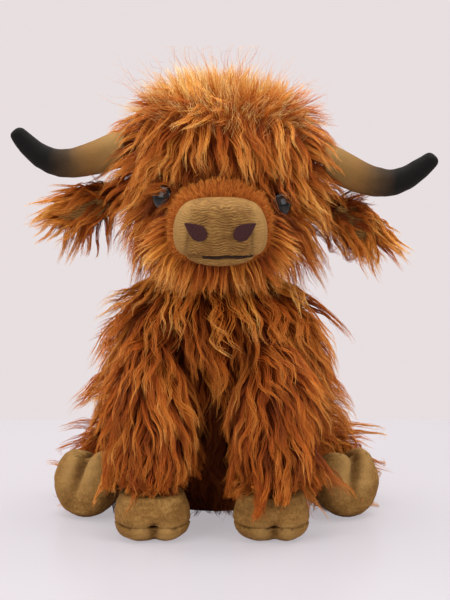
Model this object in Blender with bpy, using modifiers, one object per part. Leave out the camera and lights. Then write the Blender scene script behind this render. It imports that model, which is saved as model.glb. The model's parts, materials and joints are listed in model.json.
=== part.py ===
# A sitting plush cow with a long shaggy coat, sewn and stuffed.
# Metres, +Z up. The toy faces -Y, and its own left side is at +X.
# The origin is the centre of the flat seat, on the surface that the toy sits on.

import bpy
import bmesh
from math import cos, pi, radians, sin
from mathutils import Matrix, Vector
from mathutils.bvhtree import BVHTree

# Clearances and cloth
SEAM_GAP = 0.0003
FLAT_DEPTH = 0.0005
PILE_DEPTH = 0.009
CUT_OVERRUN = 0.004
CUTTER_REACH = 0.12

# Body, with the pile of the coat counted in its outline
TORSO_HEIGHT = 0.163
TORSO_WIDTH = 0.146
TORSO_DEPTH = 0.120
NECK_RADIUS = 0.031
NECK_FILL_RADIUS = 0.021
SLIT_LENGTH = 0.040
SLIT_Z = 0.105
# Each row: height, half width, half depth and lean to the back
TORSO_RING_SHARES = (
    (0.00, 0.40, 0.42, 0.02),
    (0.02, 0.76, 0.78, 0.06),
    (0.15, 0.97, 0.97, 0.08),
    (0.41, 1.00, 1.00, 0.05),
    (0.67, 0.96, 0.90, -0.07),
    (0.89, 0.83, 0.70, -0.17),
    (1.00, 0.52, 0.43, -0.19),
)

# Head, measured from the neck's centre
NECK_Y = -0.018
NECK_Z = 0.152
HEAD_ROLL = radians(3.5)
HEAD_HEIGHT = 0.122
HEAD_WIDTH = 0.130
HEAD_DEPTH = 0.104
HEAD_RISE = 0.011
HEAD_RING_SHARES = (
    (0.00, 0.50, 0.52, -0.02),
    (0.13, 0.86, 0.86, -0.01),
    (0.38, 1.00, 1.00, 0.01),
    (0.64, 1.02, 1.02, 0.02),
    (0.88, 0.86, 0.86, 0.03),
    (1.00, 0.50, 0.50, 0.04),
)

# Short-pile panel round the muzzle, and the muzzle in it
MUZZLE_WIDTH = 0.0565
MUZZLE_HEIGHT = 0.0372
MUZZLE_DEPTH = 0.040
MUZZLE_FRONT = 0.084
MUZZLE_Z = 0.0431
MUZZLE_LEVEL = radians(3.5)
MUZZLE_SQUARENESS = 4.2
MUZZLE_LOW_SQUARENESS = 7.0
MUZZLE_TAPER_SHARE = 0.11
# Each row: depth from the front, half width, half height and lift
MUZZLE_RING_SHARES = (
    (0.00, 0.52, 0.50, 0.02),
    (0.14, 0.90, 0.88, 0.00),
    (0.45, 1.03, 1.02, -0.02),
    (1.00, 1.00, 1.00, 0.00),
)
PANEL_RIM = 0.0065
PANEL_DEPTH = 0.024
PANEL_SETBACK = 0.016
PANEL_BROW_SHARE = 0.50
PANEL_BROW_RISE = 0.0060
CHIN_WIDTH = 0.044
CHIN_HEIGHT = 0.016
CHIN_DROP = 0.0244
CHIN_SETBACK = 0.0085
CHIN_RING_SHARES = (
    (0.00, 0.50, 0.50, 0.00),
    (0.18, 0.96, 0.95, 0.00),
    (0.55, 1.04, 1.04, 0.00),
    (1.00, 1.00, 1.00, 0.00),
)

# Nostril patches and the stitched mouth
NOSTRIL_LENGTH = 0.0166
NOSTRIL_HEIGHT = 0.0104
NOSTRIL_THICKNESS = 0.0014
NOSTRIL_PROUD = 0.0004
NOSTRIL_X = 0.0156
NOSTRIL_RISE = -0.0001
NOSTRIL_TILT = radians(33)
NOSTRIL_TURN = radians(16)
NOSTRIL_POINT_SHARE = 0.58
MOUTH_WIDTH = 0.030
MOUTH_SHIFT = 0.0045
MOUTH_RISE = 0.0018
THREAD_RADIUS = 0.0007
MOUTH_POINTS = 9

# Safety eyes: a glossy dome on a shank that a washer holds inside
EYE_RADIUS = 0.0078
EYE_DOME = 0.0056
EYE_RIM = 0.0012
EYE_SHANK_RADIUS = 0.0020
EYE_SHANK_LENGTH = 0.0165
EYE_X = 0.0366
EYE_Z = 0.0566
EYE_YAW = radians(40)
WASHER_RADIUS = 0.0060
WASHER_THICKNESS = 0.0018
WASHER_INSET = 0.0115

# Horns: stuffed tubes that dip and then curl up to a blunt tip
HORN_REACH = 0.084
HORN_RADIUS = 0.0122
HORN_BASE_X = 0.049
HORN_BASE_Y = 0.004
HORN_BASE_Z = 0.0865
# Each row: outward, up and back along the reach, and the tube's radius
HORN_ROUTE_SHARES = (
    (-0.16, 0.03, 0.00, 0.98),
    (0.08, -0.01, -0.01, 1.00),
    (0.28, -0.09, -0.03, 0.95),
    (0.48, -0.18, -0.06, 0.85),
    (0.66, -0.205, -0.09, 0.76),
    (0.80, -0.155, -0.11, 0.65),
    (0.91, -0.060, -0.12, 0.53),
    (0.99, 0.020, -0.13, 0.45),
    (1.01, 0.045, -0.13, 0.30),
)

# Ears: a leaf with a rolled root in a groove of the head, and a plain lining
EAR_LENGTH = 0.054
EAR_WIDTH = 0.030
EAR_THICKNESS = 0.0090
EAR_ROOT_RADIUS = 0.0040
EAR_ROOT_LENGTH = 0.020
EAR_Z = 0.054
EAR_Y = 0.006
EAR_DROOP = radians(25)
EAR_SWEEP = radians(6)
# Each row: distance out, half width and half thickness
EAR_RING_SHARES = (
    (-0.06, 0.52, 0.80),
    (0.10, 0.66, 0.84),
    (0.36, 1.00, 1.00),
    (0.66, 0.98, 0.92),
    (0.90, 0.56, 0.70),
    (1.00, 0.20, 0.40),
)
LINING_THICKNESS = 0.0030
LINING_SHARE = 0.70
LINING_START_SHARE = 0.22
LINING_END_SHARE = 0.86

# Front legs, hanging from the shoulder seam to the cuff over the hoof
FRONT_LEG_X = {"left": 0.0345, "right": 0.0400}
SHOULDER_Z = 0.121
SHOULDER_SEAM_Z = 0.1265
FRONT_LEG_RADIUS = 0.0255
FRONT_HOOF_Y = -0.0765
FRONT_CUFF_Z = 0.029
# Each row: way down from the shoulder to the cuff, forward shift and radius
FRONT_LEG_RING_SHARES = (
    (-0.07, 0.20, 0.50),
    (0.08, 0.30, 0.84),
    (0.36, 0.55, 1.00),
    (0.68, 0.85, 0.98),
    (1.00, 1.00, 0.92),
    (1.12, 1.00, 0.92),
)

# Rear legs, lying splayed beside the body
HIP_INSET = 0.019
HIP_Y = 0.028
HIP_Z = 0.034
HIP_SEAM_Y = 0.0500
ANKLE_OUT = 0.006
ANKLE_Y = -0.0180
ANKLE_Z = 0.0245
REAR_LEG_RADIUS = 0.0260
# Each row: way from the hip to the ankle and radius
REAR_LEG_RING_SHARES = (
    (-0.42, 0.48),
    (-0.16, 0.90),
    (0.22, 1.00),
    (0.62, 0.92),
    (1.00, 0.78),
    (1.30, 0.74),
)

# Cloven hooves: a notched outline that swells above its sole seam
FRONT_HOOF_WIDTH = 0.048
FRONT_HOOF_LENGTH = 0.052
FRONT_HOOF_HEIGHT = FRONT_CUFF_Z
FRONT_SOLE_HEIGHT = 0.0105
REAR_HOOF_WIDTH = 0.044
REAR_HOOF_LENGTH = 0.046
REAR_HOOF_HEIGHT = 0.025
REAR_SOLE_HEIGHT = 0.0085
REAR_HOOF_OUT = 0.0105
REAR_HOOF_Y = -0.0275
REAR_HOOF_LEAN = radians(12)
FRONT_CLEFT_SHARE = 0.36
REAR_CLEFT_SHARE = 0.52
CLEFT_SIDE_SHARE = 0.22
# Each row: height, outline and depth of the cleft
HOOF_RING_SHARES = (
    (0.00, 0.72, 0.80),
    (0.14, 0.95, 1.00),
    (0.42, 1.04, 1.00),
    (0.78, 0.94, 0.62),
    (1.20, 0.78, 0.20),
)

# Tail with its tuft
TAIL_ROOT_Z = 0.062
TAIL_RADIUS = 0.0062
TAIL_LENGTH = 0.034
TAIL_STANDOFF = 0.0150
TAIL_CLEAR = 0.0012
TUFT_RADIUS = 0.0110
TUFT_LENGTH = 0.026
TUFT_RING_SHARES = (
    (-0.12, 0.60),
    (0.22, 0.95),
    (0.58, 1.00),
    (0.86, 0.66),
    (1.00, 0.25),
)

# Finish of each cloth: colour and roughness
FINISHES = {
    "long_pile": ((0.42, 0.13, 0.025), 0.95),
    "short_pile": ((0.46, 0.15, 0.028), 0.92),
    "tan_velboa": ((0.40, 0.24, 0.095), 0.90),
    "horn_velboa": ((0.28, 0.17, 0.075), 0.88),
    "nostril_felt": ((0.050, 0.018, 0.020), 0.90),
    "mouth_thread": ((0.030, 0.016, 0.012), 0.80),
    "eye_plastic": ((0.035, 0.012, 0.006), 0.12),
    "washer_plastic": ((0.75, 0.75, 0.72), 0.45),
    "stuffing": ((0.85, 0.84, 0.80), 1.00),
}

SIDES = {"left": 1, "right": -1}

# Facets
FORM_SIDES = 12
LIMB_SIDES = 8
MUZZLE_SIDES = 16
HOOF_SIDES = 12
HORN_SIDES = 8
TURNED_STEPS = 12
ROOT_STEPS = 12
NECK_STEPS = 24
SMOOTHING = 1


def clear_scene():
    for item in list(bpy.data.objects):
        bpy.data.objects.remove(item)


def new_collection(name):
    collection = bpy.data.collections.new(name)
    bpy.context.scene.collection.children.link(collection)
    return collection


def material(name):
    found = bpy.data.materials.get(name)
    if found:
        return found
    colour, roughness = FINISHES[name]
    made = bpy.data.materials.new(name)
    made.use_nodes = True
    shader = made.node_tree.nodes["Principled BSDF"]
    shader.inputs["Base Color"].default_value = (*colour, 1)
    shader.inputs["Roughness"].default_value = roughness
    shader.inputs["Metallic"].default_value = 0
    return made


def add_object(name, data, frame, finish=None):
    # Without a finish the object is a cutter or a guide.
    item = bpy.data.objects.new(name, data)
    if finish:
        PARTS.objects.link(item)
        data.materials.append(material(finish))
    else:
        CUTTERS.objects.link(item)
        item.hide_render = True
        item.display_type = "WIRE"
    item.matrix_world = frame
    return item


def mesh_from(name, bm):
    bmesh.ops.recalc_face_normals(bm, faces=bm.faces)
    mesh = bpy.data.meshes.new(name)
    bm.to_mesh(mesh)
    bm.free()
    mesh.shade_smooth()
    return mesh


def swell(sides):
    # Subdivision draws a ring of this many points in by the inverse of this.
    return 6 / (4 + 2 * cos(2 * pi / sides))


def squared(x, y, power):
    # Moves a point of the unit circle onto a rounder or squarer outline.
    reach = (abs(x) ** power + abs(y) ** power) ** (1 / power)
    return x / reach, y / reach


def stuffed_mesh(name, rings, sides, shape=None):
    # Each ring: its centre, the two half axes as vectors and a value for the shape.
    bm = bmesh.new()
    loops = []
    for index, (centre, across, along, extra) in enumerate(rings):
        at_end = index in (0, len(rings) - 1)
        made = bmesh.ops.create_circle(bm, cap_ends=at_end, radius=1, segments=sides)
        for vert in made["verts"]:
            x, y = vert.co.x, vert.co.y
            if shape:
                x, y = shape(x, y, extra)
            vert.co = centre + (across * x + along * y) * swell(sides)
        ring_edges = {edge for vert in made["verts"] for edge in vert.link_edges}
        loops.append(list(ring_edges))
    for lower, upper in zip(loops, loops[1:]):
        bmesh.ops.bridge_loops(bm, edges=lower + upper)
    return mesh_from(name, bm)


def smooth_form(item):
    rounding = item.modifiers.new("rounding", "SUBSURF")
    rounding.levels = SMOOTHING
    rounding.render_levels = SMOOTHING
    # Bent quads are split the same way in a form and in the room that is cut for it.
    splitting = item.modifiers.new("splitting", "TRIANGULATE")
    splitting.quad_method = "FIXED"
    return item


def combine(item, other, operation):
    step = item.modifiers.new(other.name, "BOOLEAN")
    step.object = other
    step.operation = operation
    step.solver = "EXACT"


def cut(item, *cutters):
    for cutter in cutters:
        combine(item, cutter, "DIFFERENCE")


def evaluated(item):
    bpy.context.view_layer.update()
    shown = item.evaluated_get(bpy.context.evaluated_depsgraph_get())
    mesh = shown.to_mesh()
    points = [shown.matrix_world @ vert.co for vert in mesh.vertices]
    faces = [tuple(face.vertices) for face in mesh.polygons]
    shown.to_mesh_clear()
    return points, faces


def surface_point(item, start, direction):
    # Where a straight line from outside first meets a form.
    tree = BVHTree.FromPolygons(*evaluated(item))
    return tree.ray_cast(start, direction)[0]


def settle(item):
    # Lowers a form until its lowest point is under the floor by the flat's depth.
    lowest = min(point.z for point in evaluated(item)[0])
    item.matrix_world = Matrix.Translation((0, 0, -lowest - FLAT_DEPTH)) @ item.matrix_world
    return item.matrix_world.copy()


def cube_mesh(name, width, depth, height, centre):
    bm = bmesh.new()
    bmesh.ops.create_cube(bm, size=1)
    bmesh.ops.scale(bm, vec=(width, depth, height), verts=bm.verts)
    bmesh.ops.translate(bm, vec=centre, verts=bm.verts)
    return mesh_from(name, bm)


def half_space(name, frame, side):
    # A block on one side of the frame's XY plane.
    centre = (0, 0, side * CUTTER_REACH / 2)
    block = cube_mesh(name, CUTTER_REACH * 2, CUTTER_REACH * 2, CUTTER_REACH, centre)
    return add_object(name, block, frame)


def turned(name, profile, frame, finish=None, closed=False):
    # The profile runs down the outer side, as radius and height.
    bm = bmesh.new()
    verts = [bm.verts.new((radius, 0, height)) for radius, height in profile]
    for first, second in zip(verts, verts[1:]):
        bm.edges.new((first, second))
    if closed:
        bm.edges.new((verts[-1], verts[0]))
    mesh = bpy.data.meshes.new(name)
    bm.to_mesh(mesh)
    bm.free()
    item = add_object(name, mesh, frame, finish)
    screw = item.modifiers.new("turn", "SCREW")
    screw.steps = TURNED_STEPS
    screw.render_steps = TURNED_STEPS
    screw.use_merge_vertices = True
    screw.merge_threshold = 0.00001
    return item


def hinge(name, frame):
    empty = bpy.data.objects.new(name, None)
    PARTS.objects.link(empty)
    empty.matrix_world = frame
    return empty


def carry(parent, *pieces):
    bpy.context.view_layer.update()
    for piece in pieces:
        place = piece.matrix_world.copy()
        piece.parent = parent
        piece.matrix_parent_inverse = parent.matrix_world.inverted()
        piece.matrix_world = place


def stacked_rings(shares, size, base, inset):
    # Upright rings; a positive inset draws the form in on every side.
    width, depth, height = size
    rings = []
    last = len(shares) - 1
    for index, (up, wide, deep, lean) in enumerate(shares):
        rise = min(max(up * height, inset), height - inset)
        rise = {0: inset, last: height - inset}.get(index, rise)
        centre = base + Vector((0, lean * depth, rise))
        across = Vector((wide * width / 2 - inset, 0, 0))
        along = Vector((0, deep * depth / 2 - inset, 0))
        rings.append((centre, across, along, None))
    return rings


def torso_form(name, inset, finish=None):
    size = (TORSO_WIDTH, TORSO_DEPTH, TORSO_HEIGHT)
    rings = stacked_rings(TORSO_RING_SHARES, size, Vector((0, 0, 0)), inset)
    mesh = stuffed_mesh(name, rings, FORM_SIDES)
    return smooth_form(add_object(name, mesh, Matrix.Identity(4), finish))


def head_form(name, inset, finish=None):
    size = (HEAD_WIDTH, HEAD_DEPTH, HEAD_HEIGHT)
    rings = stacked_rings(HEAD_RING_SHARES, size, Vector((0, 0, HEAD_RISE)), inset)
    mesh = stuffed_mesh(name, rings, FORM_SIDES)
    return smooth_form(add_object(name, mesh, HEAD_FRAME, finish))


def forward_rings(shares, width, height, depth, front, centre_z, grow):
    # Rings along Y, from the front backwards.
    rings = []
    last = len(shares) - 1
    for index, (back, wide, tall, lift) in enumerate(shares):
        end_shift = {0: -grow, last: grow}.get(index, 0)
        centre = Vector((0, front + back * depth + end_shift, centre_z + lift * height))
        across = Vector((wide * width / 2 + grow, 0, 0))
        along = Vector((0, 0, tall * height / 2 + grow))
        rings.append((centre, across, along, None))
    return rings


def muzzle_outline(x, y, extra):
    # The muzzle is square at the mouth and narrows a little to its top.
    x, y = squared(x, y, MUZZLE_SQUARENESS if y > 0 else MUZZLE_LOW_SQUARENESS)
    return x * (1 - MUZZLE_TAPER_SHARE * max(y, 0)), y


def panel_outline(x, y, extra):
    # The panel narrows upwards between the eyes.
    x, y = squared(x, y, MUZZLE_SQUARENESS if y > 0 else MUZZLE_LOW_SQUARENESS)
    return x * (1 - PANEL_BROW_SHARE * max(y, 0) ** 2), y


def muzzle_form(name, grow, finish=None):
    rings = forward_rings(MUZZLE_RING_SHARES, MUZZLE_WIDTH, MUZZLE_HEIGHT,
                          MUZZLE_DEPTH, -MUZZLE_FRONT, MUZZLE_Z, grow)
    mesh = stuffed_mesh(name, rings, MUZZLE_SIDES, muzzle_outline)
    return smooth_form(add_object(name, mesh, FACE_FRAME, finish))


def chin_form(name, grow, finish=None):
    rings = forward_rings(CHIN_RING_SHARES, CHIN_WIDTH, CHIN_HEIGHT,
                          MUZZLE_DEPTH - CHIN_SETBACK, CHIN_SETBACK - MUZZLE_FRONT,
                          MUZZLE_Z - CHIN_DROP + CHIN_HEIGHT / 2, grow)
    mesh = stuffed_mesh(name, rings, LIMB_SIDES)
    return smooth_form(add_object(name, mesh, FACE_FRAME, finish))


def ball(name, frame, radius, steps):
    # Its poles lie on the frame's Z axis, so that it turns cleanly in a room of its shape.
    bm = bmesh.new()
    bmesh.ops.create_uvsphere(bm, u_segments=steps, v_segments=steps // 2, radius=radius)
    return add_object(name, mesh_from(name, bm), frame)


def turning_room(radius, steps):
    # The radius of a faceted room whose flats clear the corners of what turns in it.
    return (radius + SEAM_GAP) / cos(pi / steps)


def make_torso():
    # The coat rises to a rounded neck stub that the head nods on, and it has a slit in
    # its back seam, where it was turned out and stuffed.
    resting = settle(torso_form("torso_outer", 0))
    nod = HEAD_FRAME @ Matrix.Rotation(pi / 2, 4, "Y")
    coat = torso_form("torso_coat", 0, "long_pile")
    filling = torso_form("torso_stuffing", PILE_DEPTH + SEAM_GAP, "stuffing")
    hollow = torso_form("torso_hollow", PILE_DEPTH)
    for item in (coat, filling, hollow):
        item.matrix_world = resting
    floor = half_space("floor_cut", Matrix.Identity(4), -1)
    combine(coat, ball("neck_stub", nod, NECK_RADIUS, NECK_STEPS), "UNION")
    fill_room = ball("neck_fill_room", nod, NECK_FILL_RADIUS + SEAM_GAP, ROOT_STEPS)
    combine(hollow, fill_room, "UNION")
    slit = cube_mesh("closing_slit", SEAM_GAP * 2, CUTTER_REACH, SLIT_LENGTH,
                     (0, CUTTER_REACH / 2, SLIT_Z))
    cut(coat, hollow, floor, add_object("closing_slit", slit, Matrix.Identity(4)))
    combine(filling, ball("neck_fill", nod, NECK_FILL_RADIUS, ROOT_STEPS), "UNION")
    return coat, ball("neck_room", nod, turning_room(NECK_RADIUS, NECK_STEPS), NECK_STEPS)


def make_head(neck_room):
    coat = head_form("head_coat", 0, "long_pile")
    filling = head_form("head_stuffing", PILE_DEPTH + SEAM_GAP, "stuffing")
    hollow = head_form("head_hollow", PILE_DEPTH)
    cut(coat, hollow, neck_room)
    cut(filling, neck_room)
    return coat, filling


def make_muzzle(head_skin, neck_room):
    rings = []
    back = PANEL_SETBACK - MUZZLE_FRONT
    steps = (0, PANEL_DEPTH / 2, PANEL_DEPTH, PANEL_DEPTH * 2)
    for step in steps:
        rim = PANEL_RIM * (1 + step / PANEL_DEPTH) / 2
        across = Vector((MUZZLE_WIDTH / 2 + rim, 0, 0))
        rise = PANEL_BROW_RISE * step / PANEL_DEPTH / 2
        along = Vector((0, 0, MUZZLE_HEIGHT / 2 + rim + rise))
        rings.append((Vector((0, back + step, MUZZLE_Z + rise)), across, along, None))
    panel_mesh = stuffed_mesh("face_panel", rings, MUZZLE_SIDES, panel_outline)
    panel = smooth_form(add_object("face_panel", panel_mesh, FACE_FRAME, "short_pile"))
    muzzle = muzzle_form("muzzle", 0, "tan_velboa")
    muzzle_room = muzzle_form("muzzle_room", SEAM_GAP)
    chin = chin_form("chin", 0, "tan_velboa")
    face_room = muzzle_form("face_room", SEAM_GAP)
    combine(face_room, chin_form("chin_room", SEAM_GAP), "UNION")
    cut(muzzle, head_skin)
    cut(chin, head_skin, muzzle_room)
    cut(panel, head_skin, face_room, neck_room)
    return panel, muzzle, chin


def teardrop(name, length, height, thickness, frame, finish=None):
    # A round end and a point, filled and as thick as the patch.
    curve = bpy.data.curves.new(name, "CURVE")
    curve.dimensions = "2D"
    curve.fill_mode = "BOTH"
    curve.extrude = thickness / 2
    curve.resolution_u = ROOT_STEPS // 4
    spline = curve.splines.new("BEZIER")
    spline.bezier_points.add(3)
    half = length / 2
    pull = height * NOSTRIL_POINT_SHARE / 2
    outline = (
        ((-half, 0), (0, pull / 2), (0, -pull / 2)),
        ((half / 4, -height / 2), (-pull, 0), (pull, 0)),
        ((half, 0), (0, -pull), (0, pull)),
        ((half / 4, height / 2), (pull, 0), (-pull, 0)),
    )
    for point, (place, before, after) in zip(spline.bezier_points, outline):
        point.co = (*place, 0)
        point.handle_left = (place[0] + before[0], place[1] + before[1], 0)
        point.handle_right = (place[0] + after[0], place[1] + after[1], 0)
    spline.bezier_points[0].handle_left = spline.bezier_points[0].co
    spline.bezier_points[0].handle_right = spline.bezier_points[0].co
    spline.use_cyclic_u = True
    return curve_to_mesh(name, curve, frame, finish)


def curve_to_mesh(name, curve, frame, finish=None):
    guide = bpy.data.objects.new(name + "_guide", curve)
    CUTTERS.objects.link(guide)
    bpy.context.view_layer.update()
    shown = guide.evaluated_get(bpy.context.evaluated_depsgraph_get())
    mesh = bpy.data.meshes.new_from_object(shown)
    bpy.data.objects.remove(guide)
    bm = bmesh.new()
    bm.from_mesh(mesh)
    bmesh.ops.remove_doubles(bm, verts=bm.verts, dist=SEAM_GAP / 10)
    bmesh.ops.recalc_face_normals(bm, faces=bm.faces)
    bm.to_mesh(mesh)
    bm.free()
    return add_object(name, mesh, frame, finish)


def make_nostril(side, muzzle):
    # The patch faces forwards and outwards, its point up and out.
    sign = SIDES[side]
    aim = Vector((sign * sin(NOSTRIL_TURN), -cos(NOSTRIL_TURN), 0))
    middle = Vector((sign * NOSTRIL_X, -MUZZLE_FRONT, MUZZLE_Z + NOSTRIL_RISE))
    start = middle + aim * CUTTER_REACH
    world_aim = FACE_FRAME.to_3x3() @ aim
    seat = surface_point(muzzle, FACE_FRAME @ start, -world_aim)
    turn = world_aim.to_track_quat("Z", "Y").to_matrix().to_4x4()
    tilt = Matrix.Rotation(sign * NOSTRIL_TILT, 4, "Z")
    flip = Matrix.Rotation(pi if sign > 0 else 0, 4, "Z")
    sunk = Matrix.Translation((0, 0, NOSTRIL_PROUD - NOSTRIL_THICKNESS / 2))
    frame = Matrix.Translation(seat) @ turn @ flip @ tilt @ sunk
    patch = teardrop("nostril_" + side, NOSTRIL_LENGTH, NOSTRIL_HEIGHT,
                     NOSTRIL_THICKNESS, frame, "nostril_felt")
    opening = Matrix.Translation((0, 0, CUT_OVERRUN / 2 - SEAM_GAP))
    room = teardrop("nostril_room_" + side, NOSTRIL_LENGTH + SEAM_GAP * 4,
                    NOSTRIL_HEIGHT + SEAM_GAP * 3, NOSTRIL_THICKNESS + CUT_OVERRUN,
                    frame @ opening)
    cut(muzzle, room)
    return patch


def thread_curve(name, radius, route):
    curve = bpy.data.curves.new(name, "CURVE")
    curve.dimensions = "3D"
    curve.bevel_depth = radius
    curve.bevel_resolution = 1
    curve.use_fill_caps = True
    spline = curve.splines.new("POLY")
    spline.points.add(len(route) - 1)
    for point, place in zip(spline.points, route):
        point.co = (*place, 1)
    return curve


def make_mouth(muzzle, chin):
    # One dark thread along the seam where the upper lip meets the chin.
    height = MUZZLE_Z - MUZZLE_HEIGHT / 2 + MOUTH_RISE
    inverse = FACE_FRAME.inverted()
    aim = FACE_FRAME.to_3x3() @ Vector((0, 1, 0))
    route = []
    for step in range(MOUTH_POINTS):
        x = MOUTH_SHIFT + MOUTH_WIDTH * (step / (MOUTH_POINTS - 1) - 1 / 2)
        start = FACE_FRAME @ Vector((x, -MUZZLE_FRONT - CUTTER_REACH, height))
        route.append(inverse @ surface_point(muzzle, start, aim))
    thread = curve_to_mesh("mouth_stitch", thread_curve("mouth", THREAD_RADIUS, route),
                           FACE_FRAME, "mouth_thread")
    overrun = Vector((SEAM_GAP * 2, 0, 0))
    longer = [route[0] - overrun, *route[1:-1], route[-1] + overrun]
    room = curve_to_mesh("mouth_room",
                         thread_curve("mouth_room", THREAD_RADIUS + SEAM_GAP * 2, longer),
                         FACE_FRAME)
    cut(muzzle, room)
    cut(chin, room)
    return thread


def make_eye(side, head_skin, coat, filling, panel):
    sign = SIDES[side]
    start = HEAD_FRAME @ Vector((sign * EYE_X, -CUTTER_REACH, EYE_Z))
    seat = surface_point(head_skin, start, Vector((0, 1, 0)))
    world_aim = HEAD_FRAME.to_3x3() @ Vector((sign * sin(EYE_YAW), -cos(EYE_YAW), 0))
    frame = Matrix.Translation(seat) @ world_aim.to_track_quat("Z", "Y").to_matrix().to_4x4()
    arc = [quarter * pi / 2 / 6 for quarter in range(7)]
    dome = [(EYE_RADIUS * sin(angle), EYE_DOME * cos(angle)) for angle in arc]
    shank = [
        (EYE_RADIUS, -EYE_RIM),
        (EYE_SHANK_RADIUS, -EYE_RIM),
        (EYE_SHANK_RADIUS, -EYE_SHANK_LENGTH),
        (0, -EYE_SHANK_LENGTH),
    ]
    eye = turned("eye_" + side, dome + shank, frame, "eye_plastic")
    bore = EYE_SHANK_RADIUS + SEAM_GAP
    washer_top = -WASHER_INSET
    washer_low = washer_top - WASHER_THICKNESS
    ring = [(bore, washer_top), (WASHER_RADIUS, washer_top),
            (WASHER_RADIUS, washer_low), (bore, washer_low)]
    washer = turned("eye_washer_" + side, ring, frame, "washer_plastic", closed=True)
    room = [
        (0, EYE_DOME + CUT_OVERRUN),
        (EYE_RADIUS + SEAM_GAP, EYE_DOME + CUT_OVERRUN),
        (EYE_RADIUS + SEAM_GAP, -EYE_RIM - SEAM_GAP),
        (bore, -EYE_RIM - SEAM_GAP),
        (bore, washer_top + SEAM_GAP),
        (WASHER_RADIUS + SEAM_GAP, washer_top + SEAM_GAP),
        (WASHER_RADIUS + SEAM_GAP, washer_low - SEAM_GAP),
        (bore, washer_low - SEAM_GAP),
        (bore, -EYE_SHANK_LENGTH - SEAM_GAP),
        (0, -EYE_SHANK_LENGTH - SEAM_GAP),
    ]
    pocket = turned("eye_pocket_" + side, room, frame)
    for pierced in (coat, filling, panel):
        cut(pierced, pocket)
    return eye, washer


def route_rings(points, radii, upright):
    # Rings square to a route through the points, with one axis in a fixed plane.
    rings = []
    for index, (point, (wide, tall)) in enumerate(zip(points, radii)):
        before = points[max(index - 1, 0)]
        after = points[min(index + 1, len(points) - 1)]
        ahead = (after - before).normalized()
        across = ahead.cross(upright).normalized()
        rings.append((point, across * wide, across.cross(ahead) * tall, None))
    return rings


def make_horn(side, head_skin):
    sign = SIDES[side]
    base = Vector((sign * HORN_BASE_X, HORN_BASE_Y, HORN_BASE_Z))
    points = []
    radii = []
    for out, up, back, thick in HORN_ROUTE_SHARES:
        points.append(base + Vector((sign * out, back, up)) * HORN_REACH)
        radii.append((thick * HORN_RADIUS, thick * HORN_RADIUS))
    rings = route_rings(points, radii, Vector((0, 0, 1)))
    name = "horn_" + side
    mesh = stuffed_mesh(name, rings, HORN_SIDES)
    horn = smooth_form(add_object(name, mesh, HEAD_FRAME, "horn_velboa"))
    cut(horn, head_skin)
    return horn


def cylinder(name, radius, length, frame, finish=None):
    bm = bmesh.new()
    bmesh.ops.create_cone(bm, cap_ends=True, segments=ROOT_STEPS, radius1=radius,
                          radius2=radius, depth=length)
    return add_object(name, mesh_from(name, bm), frame, finish)


def ear_rings(start, end, outline, thickness, shift):
    # The rings of the leaf between two shares of its length.
    rings = []
    for out, wide, thick in EAR_RING_SHARES:
        place = start + (end - start) * out
        centre = Vector((place * EAR_LENGTH, shift, 0))
        across = Vector((0, 0, wide * outline * EAR_WIDTH / 2))
        along = Vector((0, thick * thickness / 2, 0))
        rings.append((centre, across, along, None))
    return rings


def make_ear(side, head_skin, coat):
    sign = SIDES[side]
    aim = HEAD_FRAME.to_3x3() @ Vector((sign, 0, 0))
    start = HEAD_FRAME @ Vector((sign * CUTTER_REACH, EAR_Y, EAR_Z))
    root = surface_point(head_skin, start, -aim)
    mirror = Matrix.Diagonal((sign, 1, 1, 1))
    turn = Matrix.Rotation(sign * EAR_DROOP, 4, "Y") @ Matrix.Rotation(sign * EAR_SWEEP, 4, "Z")
    frame = Matrix.Translation(root) @ HEAD_FRAME.to_3x3().to_4x4() @ turn
    name = "ear_" + side
    leaf_mesh = stuffed_mesh(name, ear_rings(0, 1, 1, EAR_THICKNESS, 0), LIMB_SIDES)
    leaf_mesh.transform(mirror)
    leaf = smooth_form(add_object(name, leaf_mesh, frame, "long_pile"))
    root_roll = cylinder("ear_root_" + side, EAR_ROOT_RADIUS, EAR_ROOT_LENGTH, frame)
    behind = Matrix.Rotation(sign * pi / 2, 4, "Y")
    root_plane = half_space("ear_back_" + side, frame @ behind, -1)
    face = -EAR_THICKNESS / 2 + LINING_THICKNESS / 4
    lining_name = "ear_lining_" + side
    rings = ear_rings(LINING_START_SHARE, LINING_END_SHARE, LINING_SHARE, LINING_THICKNESS, face)
    lining_mesh = stuffed_mesh(lining_name, rings, LIMB_SIDES)
    lining_mesh.transform(mirror)
    lining = smooth_form(add_object(lining_name, lining_mesh, frame, "tan_velboa"))
    room_start = LINING_START_SHARE - SEAM_GAP / EAR_LENGTH
    room_end = LINING_END_SHARE + SEAM_GAP / EAR_LENGTH
    room_outline = LINING_SHARE + SEAM_GAP * 4 / EAR_WIDTH
    room_rings = ear_rings(room_start, room_end, room_outline, LINING_THICKNESS + SEAM_GAP * 4, face)
    room_mesh = stuffed_mesh("ear_lining_room_" + side, room_rings, LIMB_SIDES)
    room_mesh.transform(mirror)
    room = smooth_form(add_object("ear_lining_room_" + side, room_mesh, frame))
    for mesh in (leaf_mesh, lining_mesh, room_mesh):
        if sign < 0:
            mesh.flip_normals()
    cut(leaf, root_plane)
    combine(leaf, root_roll, "UNION")
    cut(leaf, room)
    groove_radius = turning_room(EAR_ROOT_RADIUS, ROOT_STEPS)
    groove = cylinder("ear_groove_" + side, groove_radius, EAR_ROOT_LENGTH + SEAM_GAP * 2, frame)
    cut(coat, groove)
    carry(hinge("ear_seam_" + side, frame), leaf, lining)
    return leaf, lining


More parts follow.
